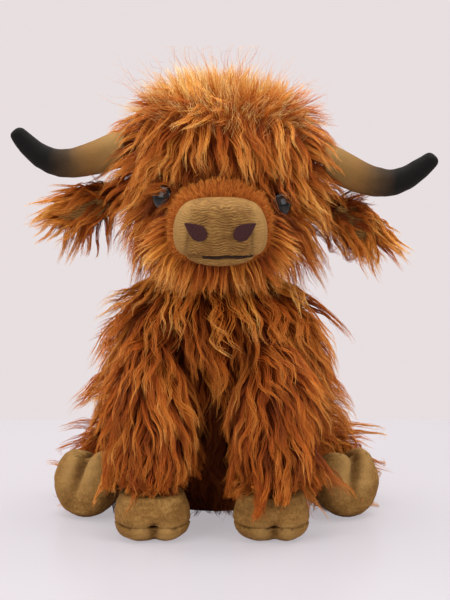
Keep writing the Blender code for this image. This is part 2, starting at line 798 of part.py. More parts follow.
def cleft_outline(x, y, depth):
    # The toe side of the ring is drawn in on the centre line, between two round toes.
    if y > -cos(pi / HOOF_SIDES):
        beside = y < -cos(3 * pi / HOOF_SIDES)
        return x, y * (1 + CLEFT_SIDE_SHARE * depth * beside)
    return x, y * (1 - depth)


def hoof_form(name, size, cleft, frame, finish=None):
    width, length, height = size
    rings = []
    for up, outline, depth in HOOF_RING_SHARES:
        across = Vector((outline * width / 2, 0, 0))
        along = Vector((0, outline * length / 2, 0))
        rings.append((Vector((0, 0, up * height)), across, along, depth * cleft))
    mesh = stuffed_mesh(name, rings, HOOF_SIDES, cleft_outline)
    return smooth_form(add_object(name, mesh, frame, finish))


def make_hoof(place, size, cleft, sole_height, frame, floor):
    # The upper and the sole share one form, split at the seam between them.
    upper = hoof_form(place[0], size, cleft, frame, "tan_velboa")
    sole = hoof_form(place[1], size, cleft, frame, "tan_velboa")
    at_seam = frame @ Matrix.Translation((0, 0, sole_height + SEAM_GAP))
    at_sole = frame @ Matrix.Translation((0, 0, sole_height))
    at_cuff = frame @ Matrix.Translation((0, 0, size[2]))
    cut(upper, half_space(place[0] + "_seam", at_seam, -1),
        half_space(place[0] + "_cuff", at_cuff, 1), floor)
    cut(sole, half_space(place[1] + "_seam", at_sole, 1), floor)
    return upper, sole


def end_shift(along, inset):
    # What fills a sleeve stops short of its closed end and runs out of its open one.
    if along < 0:
        return inset
    return CUT_OVERRUN if inset and along > 1 else 0


def leg_pair(name, rings_for, frame, cuff, torso_skin):
    # A furry sleeve that is open at the cuff, with its stuffing inside.
    sleeve_mesh = stuffed_mesh(name, rings_for(0), LIMB_SIDES)
    sleeve = smooth_form(add_object(name, sleeve_mesh, frame, "long_pile"))
    hollow_mesh = stuffed_mesh(name + "_hollow", rings_for(PILE_DEPTH), LIMB_SIDES)
    hollow = smooth_form(add_object(name + "_hollow", hollow_mesh, frame))
    filling_name = name.replace("leg", "leg_stuffing")
    filling_mesh = stuffed_mesh(filling_name, rings_for(PILE_DEPTH + SEAM_GAP), LIMB_SIDES)
    filling = smooth_form(add_object(filling_name, filling_mesh, frame, "stuffing"))
    cut(sleeve, hollow, torso_skin, cuff)
    cut(filling, torso_skin, cuff)
    return sleeve, filling


def make_front_leg(side, torso_skin, floor):
    x = SIDES[side] * FRONT_LEG_X[side]
    start = Vector((x, -CUTTER_REACH * 2, SHOULDER_Z))
    shoulder = surface_point(torso_skin, start, Vector((0, 1, 0)))
    drop = SHOULDER_Z - FRONT_CUFF_Z
    forward = FRONT_HOOF_Y - shoulder.y

    def rings_for(inset):
        rings = []
        for down, ahead, thick in FRONT_LEG_RING_SHARES:
            low = -down * drop - end_shift(down, inset)
            centre = Vector((0, ahead * forward, low))
            radius = thick * FRONT_LEG_RADIUS - inset
            rings.append((centre, Vector((radius, 0, 0)), Vector((0, radius, 0)), None))
        return rings

    frame = Matrix.Translation(shoulder)
    cuff_frame = Matrix.Translation((x, FRONT_HOOF_Y, FRONT_CUFF_Z + SEAM_GAP))
    cuff = half_space("front_cuff_cut_" + side, cuff_frame, -1)
    pair = leg_pair("front_leg_" + side, rings_for, frame, cuff, torso_skin)
    size = (FRONT_HOOF_WIDTH, FRONT_HOOF_LENGTH, FRONT_HOOF_HEIGHT)
    names = ("front_hoof_" + side, "front_sole_" + side)
    resting = Matrix.Translation((x, FRONT_HOOF_Y, 0))
    guide = hoof_form("front_hoof_guide_" + side, size, FRONT_CLEFT_SHARE, resting)
    hoof_frame = settle(guide)
    hoof = make_hoof(names, size, FRONT_CLEFT_SHARE, FRONT_SOLE_HEIGHT, hoof_frame, floor)
    seam_start = Vector((x, -CUTTER_REACH * 2, SHOULDER_SEAM_Z))
    seam = surface_point(torso_skin, seam_start, Vector((0, 1, 0)))
    carry(hinge("shoulder_" + side, Matrix.Translation(seam)), *pair, *hoof)


def make_rear_leg(side, torso_skin, floor):
    sign = SIDES[side]
    beside = TORSO_WIDTH / 2
    hip = Vector((sign * (beside - HIP_INSET), HIP_Y, HIP_Z))
    ankle = Vector((sign * (beside + ANKLE_OUT), ANKLE_Y, ANKLE_Z))
    way = ankle - hip
    forward = Vector((way.x, way.y, 0)).normalized()

    def rings_for(inset):
        points = []
        radii = []
        for along, thick in REAR_LEG_RING_SHARES:
            points.append(hip + way * along + forward * end_shift(along, inset))
            radius = thick * REAR_LEG_RADIUS - inset
            radii.append((radius, radius))
        return route_rings(points, radii, Vector((0, 0, 1)))

    toe_up = Vector((0, 0, 1)) * cos(REAR_HOOF_LEAN) - forward * sin(REAR_HOOF_LEAN)
    inward = (-forward - toe_up * (-forward).dot(toe_up)).normalized()
    across = (-toe_up).cross(inward)
    turn = Matrix((across, -toe_up, inward)).transposed().to_4x4()
    size = (REAR_HOOF_WIDTH, REAR_HOOF_LENGTH, REAR_HOOF_HEIGHT)
    hoof_x = sign * (beside + REAR_HOOF_OUT)
    sole_centre = Vector((hoof_x, REAR_HOOF_Y, REAR_HOOF_LENGTH / 2))
    sole_centre += forward * REAR_HOOF_HEIGHT / 2
    resting = Matrix.Translation(sole_centre) @ turn
    guide = hoof_form("rear_hoof_guide_" + side, size, REAR_CLEFT_SHARE, resting)
    hoof_frame = settle(guide)
    names = ("rear_hoof_" + side, "rear_sole_" + side)
    hoof = make_hoof(names, size, REAR_CLEFT_SHARE, REAR_SOLE_HEIGHT, hoof_frame, floor)
    cuff_frame = hoof_frame @ Matrix.Translation((0, 0, REAR_HOOF_HEIGHT + SEAM_GAP))
    cuff = half_space("rear_cuff_cut_" + side, cuff_frame, -1)
    identity = Matrix.Identity(4)
    pair = leg_pair("rear_leg_" + side, rings_for, identity, cuff, torso_skin)
    for piece in pair:
        cut(piece, floor)
    seam_start = Vector((sign * CUTTER_REACH, HIP_SEAM_Y, HIP_Z))
    seam = surface_point(torso_skin, seam_start, Vector((-sign, 0, 0)))
    carry(hinge("hip_" + side, Matrix.Translation(seam)), *pair, *hoof)


def make_tail(torso_skin, coat):
    start = Vector((0, CUTTER_REACH * 2, TAIL_ROOT_Z))
    root = surface_point(torso_skin, start, Vector((0, -1, 0)))
    frame = Matrix.Translation(root)
    stand = Vector((0, TAIL_STANDOFF, 0))
    down = Vector((0, 0, -TAIL_LENGTH))
    points = [
        Vector((0, -TAIL_RADIUS / 2, TAIL_RADIUS / 2)),
        Vector((0, TAIL_RADIUS / 2, 0)),
        stand + down / 4,
        stand + down * 3 / 4,
        stand + down * 5 / 4,
    ]
    radii = [(TAIL_RADIUS, TAIL_RADIUS) for _ in points]
    rings = route_rings(points, radii, Vector((1, 0, 0)))
    tail = smooth_form(add_object("tail", stuffed_mesh("tail", rings, LIMB_SIDES), frame,
                                  "long_pile"))
    swing = frame @ Matrix.Rotation(pi / 2, 4, "X")
    root_ball = ball("tail_root", swing, TAIL_RADIUS, ROOT_STEPS)
    room_radius = turning_room(TAIL_RADIUS, ROOT_STEPS)
    root_room = ball("tail_root_room", swing, room_radius, ROOT_STEPS)
    facing = Matrix.Translation((0, TAIL_CLEAR, 0)) @ Matrix.Rotation(-pi / 2, 4, "X")
    front = half_space("tail_front", frame @ facing, -1)
    end = half_space("tail_end", frame @ Matrix.Translation(down), -1)
    cut(tail, front, end)
    combine(tail, root_ball, "UNION")
    cut(coat, root_room)
    tuft_rings = []
    for along, thick in TUFT_RING_SHARES:
        centre = stand + down + Vector((0, 0, -along * TUFT_LENGTH - SEAM_GAP))
        radius = thick * TUFT_RADIUS
        tuft_rings.append((centre, Vector((radius, 0, 0)), Vector((0, radius, 0)), None))
    tuft_mesh = stuffed_mesh("tail_tuft", tuft_rings, LIMB_SIDES)
    tuft = smooth_form(add_object("tail_tuft", tuft_mesh, frame, "long_pile"))
    tuft_top = frame @ Matrix.Translation(down - Vector((0, 0, SEAM_GAP)))
    cut(tuft, half_space("tuft_top", tuft_top, 1))
    carry(hinge("tail_root_hinge", frame), tail, tuft)


def build():
    torso_coat, neck_room = make_torso()
    resting = torso_coat.matrix_world.copy()
    torso_skin = torso_form("torso_skin", -SEAM_GAP * 2)
    torso_skin.matrix_world = resting
    floor = bpy.data.objects["floor_cut"]
    head_coat, head_filling = make_head(neck_room)
    head_skin = head_form("head_skin", -SEAM_GAP)
    panel, muzzle, chin = make_muzzle(head_skin, neck_room)
    head_pieces = [head_coat, head_filling, panel, muzzle, chin]
    head_pieces.append(make_mouth(muzzle, chin))
    for side in SIDES:
        head_pieces.append(make_nostril(side, muzzle))
        head_pieces.extend(make_eye(side, head_skin, head_coat, head_filling, panel))
        head_pieces.append(make_horn(side, head_skin))
    neck = hinge("neck", HEAD_FRAME)
    carry(neck, *head_pieces)
    for side in SIDES:
        make_ear(side, head_skin, head_coat)
        carry(neck, bpy.data.objects["ear_seam_" + side])
        make_front_leg(side, torso_skin, floor)
        make_rear_leg(side, torso_skin, floor)
    make_tail(torso_skin, torso_coat)


NECK = Vector((0, NECK_Y, NECK_Z))
HEAD_FRAME = Matrix.Translation(NECK) @ Matrix.Rotation(HEAD_ROLL, 4, "Y")
# The head leans to one side, and the muzzle hangs nearly level in it.
MUZZLE_LIFT = Matrix.Translation((0, 0, MUZZLE_Z))
LEVELLED = MUZZLE_LIFT @ Matrix.Rotation(-MUZZLE_LEVEL, 4, "Y") @ MUZZLE_LIFT.inverted()
FACE_FRAME = HEAD_FRAME @ LEVELLED

clear_scene()
PARTS = new_collection("plush_cow")
CUTTERS = new_collection("cutters")
build()
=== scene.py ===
import json
import math

import bmesh
import bpy
import numpy as np
from mathutils import Matrix, Vector, noise
from mathutils.bvhtree import BVHTree
from mathutils.kdtree import KDTree

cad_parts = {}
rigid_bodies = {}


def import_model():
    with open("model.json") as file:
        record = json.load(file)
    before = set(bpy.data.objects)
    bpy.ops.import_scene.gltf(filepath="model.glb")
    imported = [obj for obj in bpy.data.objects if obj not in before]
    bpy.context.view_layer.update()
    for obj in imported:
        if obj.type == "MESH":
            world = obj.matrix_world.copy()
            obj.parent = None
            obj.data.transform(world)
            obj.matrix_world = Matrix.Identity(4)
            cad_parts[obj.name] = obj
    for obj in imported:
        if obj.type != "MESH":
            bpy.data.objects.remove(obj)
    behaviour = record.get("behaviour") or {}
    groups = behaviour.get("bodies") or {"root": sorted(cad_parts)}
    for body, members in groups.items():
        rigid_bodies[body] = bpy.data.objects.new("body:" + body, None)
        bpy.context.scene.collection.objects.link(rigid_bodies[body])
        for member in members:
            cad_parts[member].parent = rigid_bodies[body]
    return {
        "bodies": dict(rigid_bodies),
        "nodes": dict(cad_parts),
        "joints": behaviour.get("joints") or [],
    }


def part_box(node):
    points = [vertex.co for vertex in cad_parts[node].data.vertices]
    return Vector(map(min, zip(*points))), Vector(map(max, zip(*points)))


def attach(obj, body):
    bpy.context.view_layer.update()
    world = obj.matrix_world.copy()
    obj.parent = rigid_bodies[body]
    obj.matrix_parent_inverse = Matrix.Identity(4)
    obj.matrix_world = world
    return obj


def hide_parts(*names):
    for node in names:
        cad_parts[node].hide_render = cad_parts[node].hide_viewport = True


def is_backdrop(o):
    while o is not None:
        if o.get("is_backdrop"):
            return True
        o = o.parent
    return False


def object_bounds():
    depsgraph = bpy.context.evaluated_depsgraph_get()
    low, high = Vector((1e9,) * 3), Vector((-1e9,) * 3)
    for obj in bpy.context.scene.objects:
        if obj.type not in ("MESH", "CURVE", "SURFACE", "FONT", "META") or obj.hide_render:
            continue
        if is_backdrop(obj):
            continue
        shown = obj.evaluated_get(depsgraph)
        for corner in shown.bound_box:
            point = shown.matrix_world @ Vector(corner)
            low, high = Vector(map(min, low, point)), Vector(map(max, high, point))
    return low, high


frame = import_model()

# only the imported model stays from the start-up scene
kept = set(frame["nodes"].values()) | set(frame["bodies"].values())
for spare in [o for o in bpy.data.objects if o not in kept]:
    bpy.data.objects.remove(spare)
cadLow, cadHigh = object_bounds()

mm = 0.001
sides = {"left": 1, "right": -1}
noiseSeed = 3
noise.seed_set(noiseSeed)   # unset, it follows the clock


# Node helpers
class Wire:
    # a socket that takes part in Python sums

    def __init__(self, board, socket):
        self.board = board
        self.socket = socket

    def sum(self, operation, *terms, clamp=False):
        settings = {"operation": operation, "use_clamp": clamp}
        return self.board.node("ShaderNodeMath", settings, list(terms))

    def __add__(self, other):
        return self.sum("ADD", self, other)

    def __radd__(self, other):
        return self.sum("ADD", other, self)

    def __sub__(self, other):
        return self.sum("SUBTRACT", self, other)

    def __rsub__(self, other):
        return self.sum("SUBTRACT", other, self)

    def __mul__(self, other):
        return self.sum("MULTIPLY", self, other)

    def __rmul__(self, other):
        return self.sum("MULTIPLY", other, self)

    def __truediv__(self, other):
        return self.sum("DIVIDE", self, other)

    def __pow__(self, other):
        return self.sum("POWER", self, other)

    def atMost(self, other):
        return self.sum("MINIMUM", self, other)

    def atLeast(self, other):
        return self.sum("MAXIMUM", self, other)

    def wave(self):
        return self.sum("SINE", self)

    def held(self):
        return self.sum("ADD", self, 0.0, clamp=True)


class Board:
    # adds nodes to a shader tree or a geometry tree

    def __init__(self, tree):
        self.tree = tree

    def node(self, kind, settings=None, inputs=None, output=0):
        made = self.tree.nodes.new(kind)
        for key, value in (settings or {}).items():
            if key == "stops":
                ramp = made.color_ramp
                while len(ramp.elements) < len(value):
                    ramp.elements.new(1)
                for element, (place, colour) in zip(ramp.elements, value):
                    element.position = place
                    element.color = (*colour, 1)
            else:
                setattr(made, key, value)
        given = inputs or {}
        for key, value in given.items() if isinstance(given, dict) else enumerate(given):
            self.join(value, made.inputs[key])
        return Wire(self, made.outputs[output]) if len(made.outputs) else None

    def join(self, value, socket):
        if isinstance(value, Wire):
            self.tree.links.new(value.socket, socket)
        else:
            socket.default_value = value

    def other(self, wire, name):
        return Wire(self, wire.socket.node.outputs[name])

    def vectorSum(self, operation, *terms):
        return self.node("ShaderNodeVectorMath", {"operation": operation}, list(terms))

    def scaled(self, vector, factor):
        inputs = {"Vector": vector, "Scale": factor}
        return self.node("ShaderNodeVectorMath", {"operation": "SCALE"}, inputs)


class Paint(Board):
    # one procedural material

    def __init__(self, name):
        self.material = bpy.data.materials.new(name)
        self.material.use_nodes = True
        self.material.node_tree.nodes.clear()
        super().__init__(self.material.node_tree)

    def place(self):
        return self.node("ShaderNodeTexCoord", output="Object")

    def stretched(self, scale):
        return self.node("ShaderNodeMapping", {}, {"Vector": self.place(), "Scale": scale})

    def attribute(self, name, output="Fac"):
        return self.node("ShaderNodeAttribute", {"attribute_name": name}, output=output)

    def grain(self, where, scale, detail=3.0, roughness=0.55):
        inputs = {"Vector": where, "Scale": scale, "Detail": detail, "Roughness": roughness}
        return self.node("ShaderNodeTexNoise", {}, inputs)

    def ramp(self, value, *stops):
        return self.node("ShaderNodeValToRGB", {"stops": stops}, {"Fac": value})

    def mixed(self, factor, first, second, mode="MIX"):
        settings = {"data_type": "RGBA", "blend_type": mode}
        made = self.node("ShaderNodeMix", settings, {0: factor}, output=2)
        for value, socket in ((first, 6), (second, 7)):
            if not isinstance(value, Wire):
                value = (*value, 1)
            self.join(value, made.socket.node.inputs[socket])
        return made

    def bump(self, height, strength, distance, under=None):
        inputs = {"Height": height, "Strength": strength, "Distance": distance}
        if under:
            inputs["Normal"] = under
        return self.node("ShaderNodeBump", {}, inputs)

    def finish(self, colour, roughness, normal=None, **constants):
        inputs = {"Roughness": roughness}
        if isinstance(colour, Wire):
            inputs["Base Color"] = colour
        else:
            inputs["Base Color"] = (*colour, 1)
        if normal:
            inputs["Normal"] = normal
        inputs.update(constants)
        surface = self.node("ShaderNodeBsdfPrincipled", {}, inputs)
        self.node("ShaderNodeOutputMaterial", {}, {"Surface": surface})
        return self.material


# Finishes
def sheened(paint, colour, look, tint, normal=None):
    return paint.finish(colour, look["roughness"], normal, **{
        "Specular IOR Level": look["shine"], "Sheen Weight": look["sheen"],
        "Sheen Roughness": look["sheenSpread"], "Sheen Tint": (*tint, 1)})


def makeFur(name, look):
    # u of the map runs along a hair and v is the tone of its lock
    paint = Paint(name)
    where = paint.node("ShaderNodeUVMap", {"uv_map": "OFBake"})
    along = paint.node("ShaderNodeSeparateXYZ", {}, [where])
    tone = paint.other(along, "Y")
    deep, rust, gold = (paint.ramp(along, *zip(look["stops"], look[part]))
                        for part in ("deep", "rust", "gold"))
    colour = paint.mixed((tone * 2).held(), deep, rust)
    colour = paint.mixed((tone * 2 - 1).held(), colour, gold)
    return sheened(paint, colour, look, look["rust"][2])


def makeCloth(name, look):
    # two shades and one bump along a stretched grain, for underfur, felt and thread
    paint = Paint(name)
    grain = paint.grain(paint.stretched(look["stretch"]), look["scale"], look["detail"],
                        look["grit"])
    shade = paint.ramp(grain, *zip(look["stops"], (look["dark"], look["light"])))
    return paint.finish(shade, look["roughness"], paint.bump(grain, *look["bump"]), **{
        "Specular IOR Level": look["shine"]})


def makeVelboa(name, look):
    # short nap: fine fibres, soft patches of wear and creases across the pull of the cloth, with a
    # paler colour mixed in as painted light and a dark one as painted shade
    paint = Paint(name)
    fibres = paint.grain(paint.stretched(look["fibre"]), look["fineness"], 5, 0.7)
    creases = paint.grain(paint.stretched(look["crease"]), look["creaseScale"], 3)
    patches = paint.grain(paint.place(), look["patchScale"], 3)
    split = paint.node("ShaderNodeSeparateXYZ", {}, [paint.place()])
    bend = paint.grain(paint.stretched(look["ribBend"]), look["bendScale"], 2)
    rise = paint.other(split, "Z") + (bend - 0.5) * look["ribSway"]
    rise = rise + (fibres - 0.5) * look["ribFuzz"] * mm   # given in mm
    ribs = (rise * (2 * math.pi / look["ribWidth"])).wave() * look["ribs"]
    gain, less = look["ribPatches"]
    ribs = ribs * (paint.grain(paint.place(), look["ribPatchScale"], 3) * gain - less).held()
    mix = look["mix"]
    tone = fibres * mix["fibres"] + creases * mix["creases"] + patches * mix["patches"]
    tone = (tone - mix["less"] + ribs * mix["ribs"]).held()
    colour = paint.ramp(tone, *zip(look["stops"], (look["dark"], look["cloth"], look["light"])))
    # painted light: paler where light falls on the sides and top edge of the muzzle and on the
    # swell of the hoof toes; the chin is evenly paler
    colour = paint.mixed(paint.attribute("worn"), colour, look["light"])
    # painted shade in the darts, the mouth crease and the hoof clefts, with dark stitch marks along
    # the darts and the sole seams
    colour = paint.mixed(paint.attribute("pits"), colour, look["pit"])
    normal = paint.bump(creases, *look["foldBump"])
    normal = paint.bump(ribs, *look["ribBump"], normal)
    normal = paint.bump(fibres, *look["napBump"], normal)
    return sheened(paint, colour, look, look["light"], normal)


def makeHornCloth(name, look):
    # the same cloth, sprayed from tan to black towards the tip
    paint = Paint(name)
    along = paint.attribute("along")
    fibres = paint.grain(paint.stretched(look["fibre"]), look["fineness"], 5, 0.7)
    patches = paint.grain(paint.place(), look["patchScale"], 4)
    edge = along + (patches - 0.5) * look["ragged"]
    spray = paint.ramp(edge, *look["spray"])
    colour = paint.mixed(fibres * look["darken"], spray, look["black"], "MULTIPLY")
    colour = paint.mixed((fibres - look["fibreEdge"]).held() * look["fibreShare"], spray, colour)
    normal = paint.bump(patches, *look["patchBump"])
    normal = paint.bump(fibres, *look["napBump"], normal)
    return sheened(paint, colour, look, look["tint"], normal)


def makeEyePlastic(name, look):
    # a dark pupil in a very dark brown dome
    paint = Paint(name)
    colour = paint.ramp(paint.attribute("out"), *look["rings"])
    scuffs = paint.grain(paint.place(), look["scuffScale"], 2)
    return paint.finish(colour, look["gloss"] + scuffs * look["scuffs"], **{
        "IOR": look["ior"], "Specular IOR Level": look["shine"]})


# colours from the root to the tip of a hair, for three tones of lock
furLook = {
    "stops": (0.0, 0.3, 0.7, 1.0),
    "deep": ((0.020, 0.003, 0.0005), (0.100, 0.016, 0.0015), (0.170, 0.032, 0.0030),
             (0.260, 0.060, 0.0060)),
    "rust": ((0.120, 0.016, 0.0014), (0.340, 0.058, 0.0045), (0.540, 0.125, 0.0110),
             (0.720, 0.235, 0.0300)),
    "gold": ((0.400, 0.095, 0.0085), (0.700, 0.240, 0.0280), (0.860, 0.390, 0.0700),
             (0.960, 0.600, 0.2000)),
    "roughness": 0.55, "shine": 0.15, "sheen": 0.04, "sheenSpread": 0.4}
# a paler gold for the fine hair of the crown, partly painted glow of light shining through it
crownPileLook = dict(furLook, gold=((0.740, 0.335, 0.0550), (0.890, 0.540, 0.1300),
                                    (0.970, 0.710, 0.2700), (1.000, 0.860, 0.5200)))
shortPileLook = {
    "stops": (0.0, 0.3, 0.7, 1.0),
    "deep": ((0.080, 0.015, 0.002), (0.180, 0.037, 0.005), (0.250, 0.058, 0.007),
             (0.310, 0.080, 0.011)),
    "rust": ((0.220, 0.045, 0.005), (0.380, 0.092, 0.010), (0.480, 0.135, 0.017),
             (0.560, 0.185, 0.028)),
    "gold": ((0.300, 0.068, 0.008), (0.500, 0.140, 0.018), (0.620, 0.205, 0.032),
             (0.740, 0.290, 0.055)),
    "roughness": 0.65, "shine": 0.12, "sheen": 0.15, "sheenSpread": 0.4}
underLook = {
    "dark": (0.055, 0.009, 0.001), "light": (0.150, 0.028, 0.003), "stops": (0.3, 0.75),
    "stretch": (1, 1, 0.4), "scale": 260, "detail": 4, "grit": 0.55, "bump": (0.6, 0.8 * mm),
    "roughness": 0.95, "shine": 0.1}
headUnderLook = dict(underLook, dark=(0.150, 0.028, 0.003), light=(0.300, 0.070, 0.008))
panelUnderLook = dict(underLook, dark=(0.160, 0.034, 0.004), light=(0.290, 0.075, 0.010))
# light is also the paler colour mixed in as painted light; pit is the dark colour mixed in as
# painted shade and as stitch marks
velboaLook = {
    "dark": (0.055, 0.020, 0.0034), "cloth": (0.175, 0.080, 0.0180),
    "light": (0.370, 0.205, 0.0620), "pit": (0.035, 0.013, 0.0040), "stops": (0.28, 0.52, 0.8),
    "ribs": 1.0, "ribBend": (1.0, 1.0, 0.4), "bendScale": 130, "ribSway": 7.0 * mm,
    "ribWidth": 1.7 * mm, "ribFuzz": 0.9, "ribPatches": (2.6, 0.8), "ribPatchScale": 160,
    "fibre": (0.45, 1.0, 1.5), "fineness": 620, "crease": (0.6, 1.0, 3.2), "creaseScale": 150,
    "patchScale": 70,
    "mix": {"fibres": 0.5, "creases": 0.25, "patches": 0.35, "less": 0.05, "ribs": 0.16},
    "foldBump": (0.45, 0.9 * mm), "ribBump": (0.5, 0.3 * mm), "napBump": (0.9, 0.35 * mm),
    "roughness": 0.85, "shine": 0.15, "sheen": 0.08, "sheenSpread": 0.45}
hoofLook = dict(velboaLook, cloth=(0.210, 0.098, 0.0220), light=(0.450, 0.260, 0.0850), ribs=0.0,
                fibre=(1.0, 1.0, 1.0), creaseScale=90)
hornLook = {
    "spray": ((0.0, (0.285, 0.165, 0.055)), (0.30, (0.175, 0.085, 0.024)),
              (0.50, (0.045, 0.025, 0.012)), (0.66, (0.0055, 0.0048, 0.0042)),
              (1.0, (0.0040, 0.0038, 0.0036))),
    "black": (0.0055, 0.0048, 0.0042), "tint": (0.55, 0.45, 0.3), "ragged": 0.16,
    "fibre": (0.5, 1, 1), "fineness": 900, "patchScale": 60, "darken": 0.5, "fibreEdge": 0.25,
    "fibreShare": 0.7, "patchBump": (0.25, 0.8 * mm), "napBump": (0.5, 0.3 * mm),
    "roughness": 0.85, "shine": 0.10, "sheen": 0.05, "sheenSpread": 0.5}
feltLook = {
    "dark": (0.018, 0.006, 0.006), "light": (0.060, 0.020, 0.019), "stops": (0.3, 0.7),
    "stretch": (1.0, 1.0, 2.4), "scale": 1100, "detail": 4, "grit": 0.7,
    "bump": (0.6, 0.3 * mm), "roughness": 0.9, "shine": 0.1}
threadLook = {
    "dark": (0.010, 0.005, 0.003), "light": (0.040, 0.018, 0.010), "stops": (0.3, 0.8),
    "stretch": (3, 1, 1), "scale": 900, "detail": 2, "grit": 0.55, "bump": (0.5, 0.2 * mm),
    "roughness": 0.8, "shine": 0.1}
eyeLook = {
    "rings": ((0.0, (0.003, 0.002, 0.002)), (0.55, (0.004, 0.003, 0.002)),
              (0.66, (0.018, 0.007, 0.003)), (0.95, (0.005, 0.003, 0.002))),
    "scuffScale": 900, "gloss": 0.07, "scuffs": 0.05, "ior": 1.3, "shine": 0.5}

furPaint = makeFur("longPile", furLook)
crownPaint = makeFur("crownPile", crownPileLook)
shortPilePaint = makeFur("shortPile", shortPileLook)
underPaint = makeCloth("underfur", underLook)
headPaint = makeCloth("headUnderfur", headUnderLook)
panelPaint = makeCloth("panelCloth", panelUnderLook)
velboaPaint = makeVelboa("muzzleVelboa", velboaLook)
hoofPaint = makeVelboa("hoofVelboa", hoofLook)
hornPaint = makeHornCloth("hornVelboa", hornLook)
feltPaint = makeCloth("nostrilFelt", feltLook)
eyePaint = makeEyePlastic("eyePlastic", eyeLook)
threadPaint = makeCloth("mouthThread", threadLook)
print("finishes are mixed")


# Mesh helpers
skinLook = {"weld": 0.01 * mm, "soften": 0.5}
noiseShift = (7.3, 3.1, 5.7)


def addObject(name, mesh, paint):
    mesh.materials.clear()
    mesh.materials.append(paint)
    made = bpy.data.objects.new(name, mesh)
    bpy.context.scene.collection.objects.link(made)
    return made


def evaluatedMesh(item):
    bpy.context.view_layer.update()
    shown = item.evaluated_get(bpy.context.evaluated_depsgraph_get())
    return bpy.data.meshes.new_from_object(shown)


def softCopy(name, nodes, paint, voxel, smooth, inset=0.0, hull=False):
    # the outside of CAD nodes as one even skin, drawn in by the inset
    bm = bmesh.new()
    for node in nodes:
        bm.from_mesh(frame["nodes"][node].data)
    bmesh.ops.remove_doubles(bm, verts=bm.verts, dist=skinLook["weld"])
    if hull:
        found = bmesh.ops.convex_hull(bm, input=bm.verts)
        spare = found["geom_interior"] + found["geom_unused"] + found["geom_holes"]
        points = {v for v in spare if isinstance(v, bmesh.types.BMVert)}
        bmesh.ops.delete(bm, geom=list(points), context="VERTS")
    bmesh.ops.triangulate(bm, faces=bm.faces)
    mesh = bpy.data.meshes.new(name)
    bm.to_mesh(mesh)
    bm.free()
    item = addObject(name, mesh, paint)
    remesh = item.modifiers.new("even", "REMESH")
    remesh.mode = "VOXEL"
    remesh.voxel_size = voxel
    soften = item.modifiers.new("soften", "SMOOTH")
    soften.factor = skinLook["soften"]
    soften.iterations = smooth
    if inset:
        draw = item.modifiers.new("drawIn", "DISPLACE")
        draw.strength = -inset
        draw.mid_level = 0.0
    result = evaluatedMesh(item)
    item.modifiers.clear()
    item.data = result
    result.shade_smooth()
    return item


def meshArrays(mesh):
    points = np.empty(len(mesh.vertices) * 3)
    mesh.vertices.foreach_get("co", points)
    normals = np.empty(len(mesh.vertices) * 3)
    mesh.vertices.foreach_get("normal", normals)
    return points.reshape(-1, 3), normals.reshape(-1, 3)


def setPoints(mesh, points):
    mesh.vertices.foreach_set("co", points.ravel())
    mesh.update()


def slideOut(mesh, points, normals, amount):
    setPoints(mesh, points + normals * amount[:, None])


def setAttribute(mesh, name, values):
    made = mesh.attributes.get(name) or mesh.attributes.new(name, "FLOAT", "POINT")
    made.data.foreach_set("value", np.asarray(values, dtype=np.float32))


def unit(vectors):
    return vectors / np.maximum(np.linalg.norm(vectors, axis=-1, keepdims=True), 1e-9)


def step(low, high, values):
    # smooth step that also runs downwards
    share = np.clip((values - low) / (high - low), 0, 1)
    return share * share * (3 - 2 * share)


def bell(values, width, power=2):
    # 1 where the values are 0, falling off over the width
    return np.exp(-(values / width) ** power)


def squareReach(aside, tall):
    # 1 on the edge of a square with round corners
    return (aside ** 3 + tall ** 3) ** (1 / 3)


def wander(points, scale, seed):
    # slow noise in three directions, from -1 to 1; a noise below is its scale and its seed
    shift = Vector([seed * way for way in noiseShift])
    return np.array([noise.noise_vector(Vector(p) * scale + shift) for p in points])


def leaning(x, lean):
    # a direction for every x: its own share sideways, the same backwards and up
    zero = np.zeros(len(x))
    return np.stack([x * lean[0], zero + lean[1], zero + lean[2]], 1)


def boxOf(node):
    # the low corner, the high corner and the middle of a CAD node
    low, high = (np.array(corner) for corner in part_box(node))
    return low, high, (low + high) / 2


# The head's frame
# the middle of an eye lies behind the outer and front ends of its box by the insets
eyeShape = {"yaw": 40, "height": 5.6 * mm, "skirt": 1.2 * mm, "rings": 20, "around": 48,
            "insetX": 5.5 * mm, "insetY": 6 * mm}
hornRise = 0.60
joints = {joint["name"]: joint for joint in frame["joints"]}
nod = joints["neck_nod"]
roll = math.atan2(-nod["axis"][2], nod["axis"][0])
headFrame = Matrix.Translation(nod["pos_m"]) @ Matrix.Rotation(roll, 4, "Y")
headInverse = headFrame.inverted()


def toHead(points):
    # places in the head's own frame
    turn = np.array(headInverse)
    return points @ turn[:3, :3].T + turn[:3, 3]


def headBox(node):
    local = toHead(meshArrays(frame["nodes"][node].data)[0])
    return local.min(0), local.max(0)


def eyeAim(side):
    yaw = math.radians(eyeShape["yaw"]) * sides[side]
    return Vector((math.sin(yaw), -math.cos(yaw), 0))


muzzleLow, muzzleHigh = headBox("muzzle")
muzzleMiddle = (muzzleLow + muzzleHigh) / 2
muzzleBox = boxOf("muzzle")
headLow, headHigh = headBox("head_coat")
headMiddle = (headLow + headHigh) / 2
headHalf = (headHigh - headLow) / 2
hornRoots, earRoots, eyePlaces = [], [], {}
for side in sides:
    low, high = headBox("horn_" + side)
    hornRoots.append(np.array([low[0] if side == "left" else high[0], (low[1] + high[1]) / 2,
                               headLow[2] + hornRise * (headHigh[2] - headLow[2])]))
    earRoots.append(toHead(np.array([joints["ear_flap_" + side]["pos_m"]]))[0])
    low, high = headBox("eye_" + side)
    inset = eyeShape["insetX"]
    eyePlaces[side] = np.array([low[0] + inset if side == "right" else high[0] - inset,
                                low[1] + eyeShape["insetY"], (low[2] + high[2]) / 2])


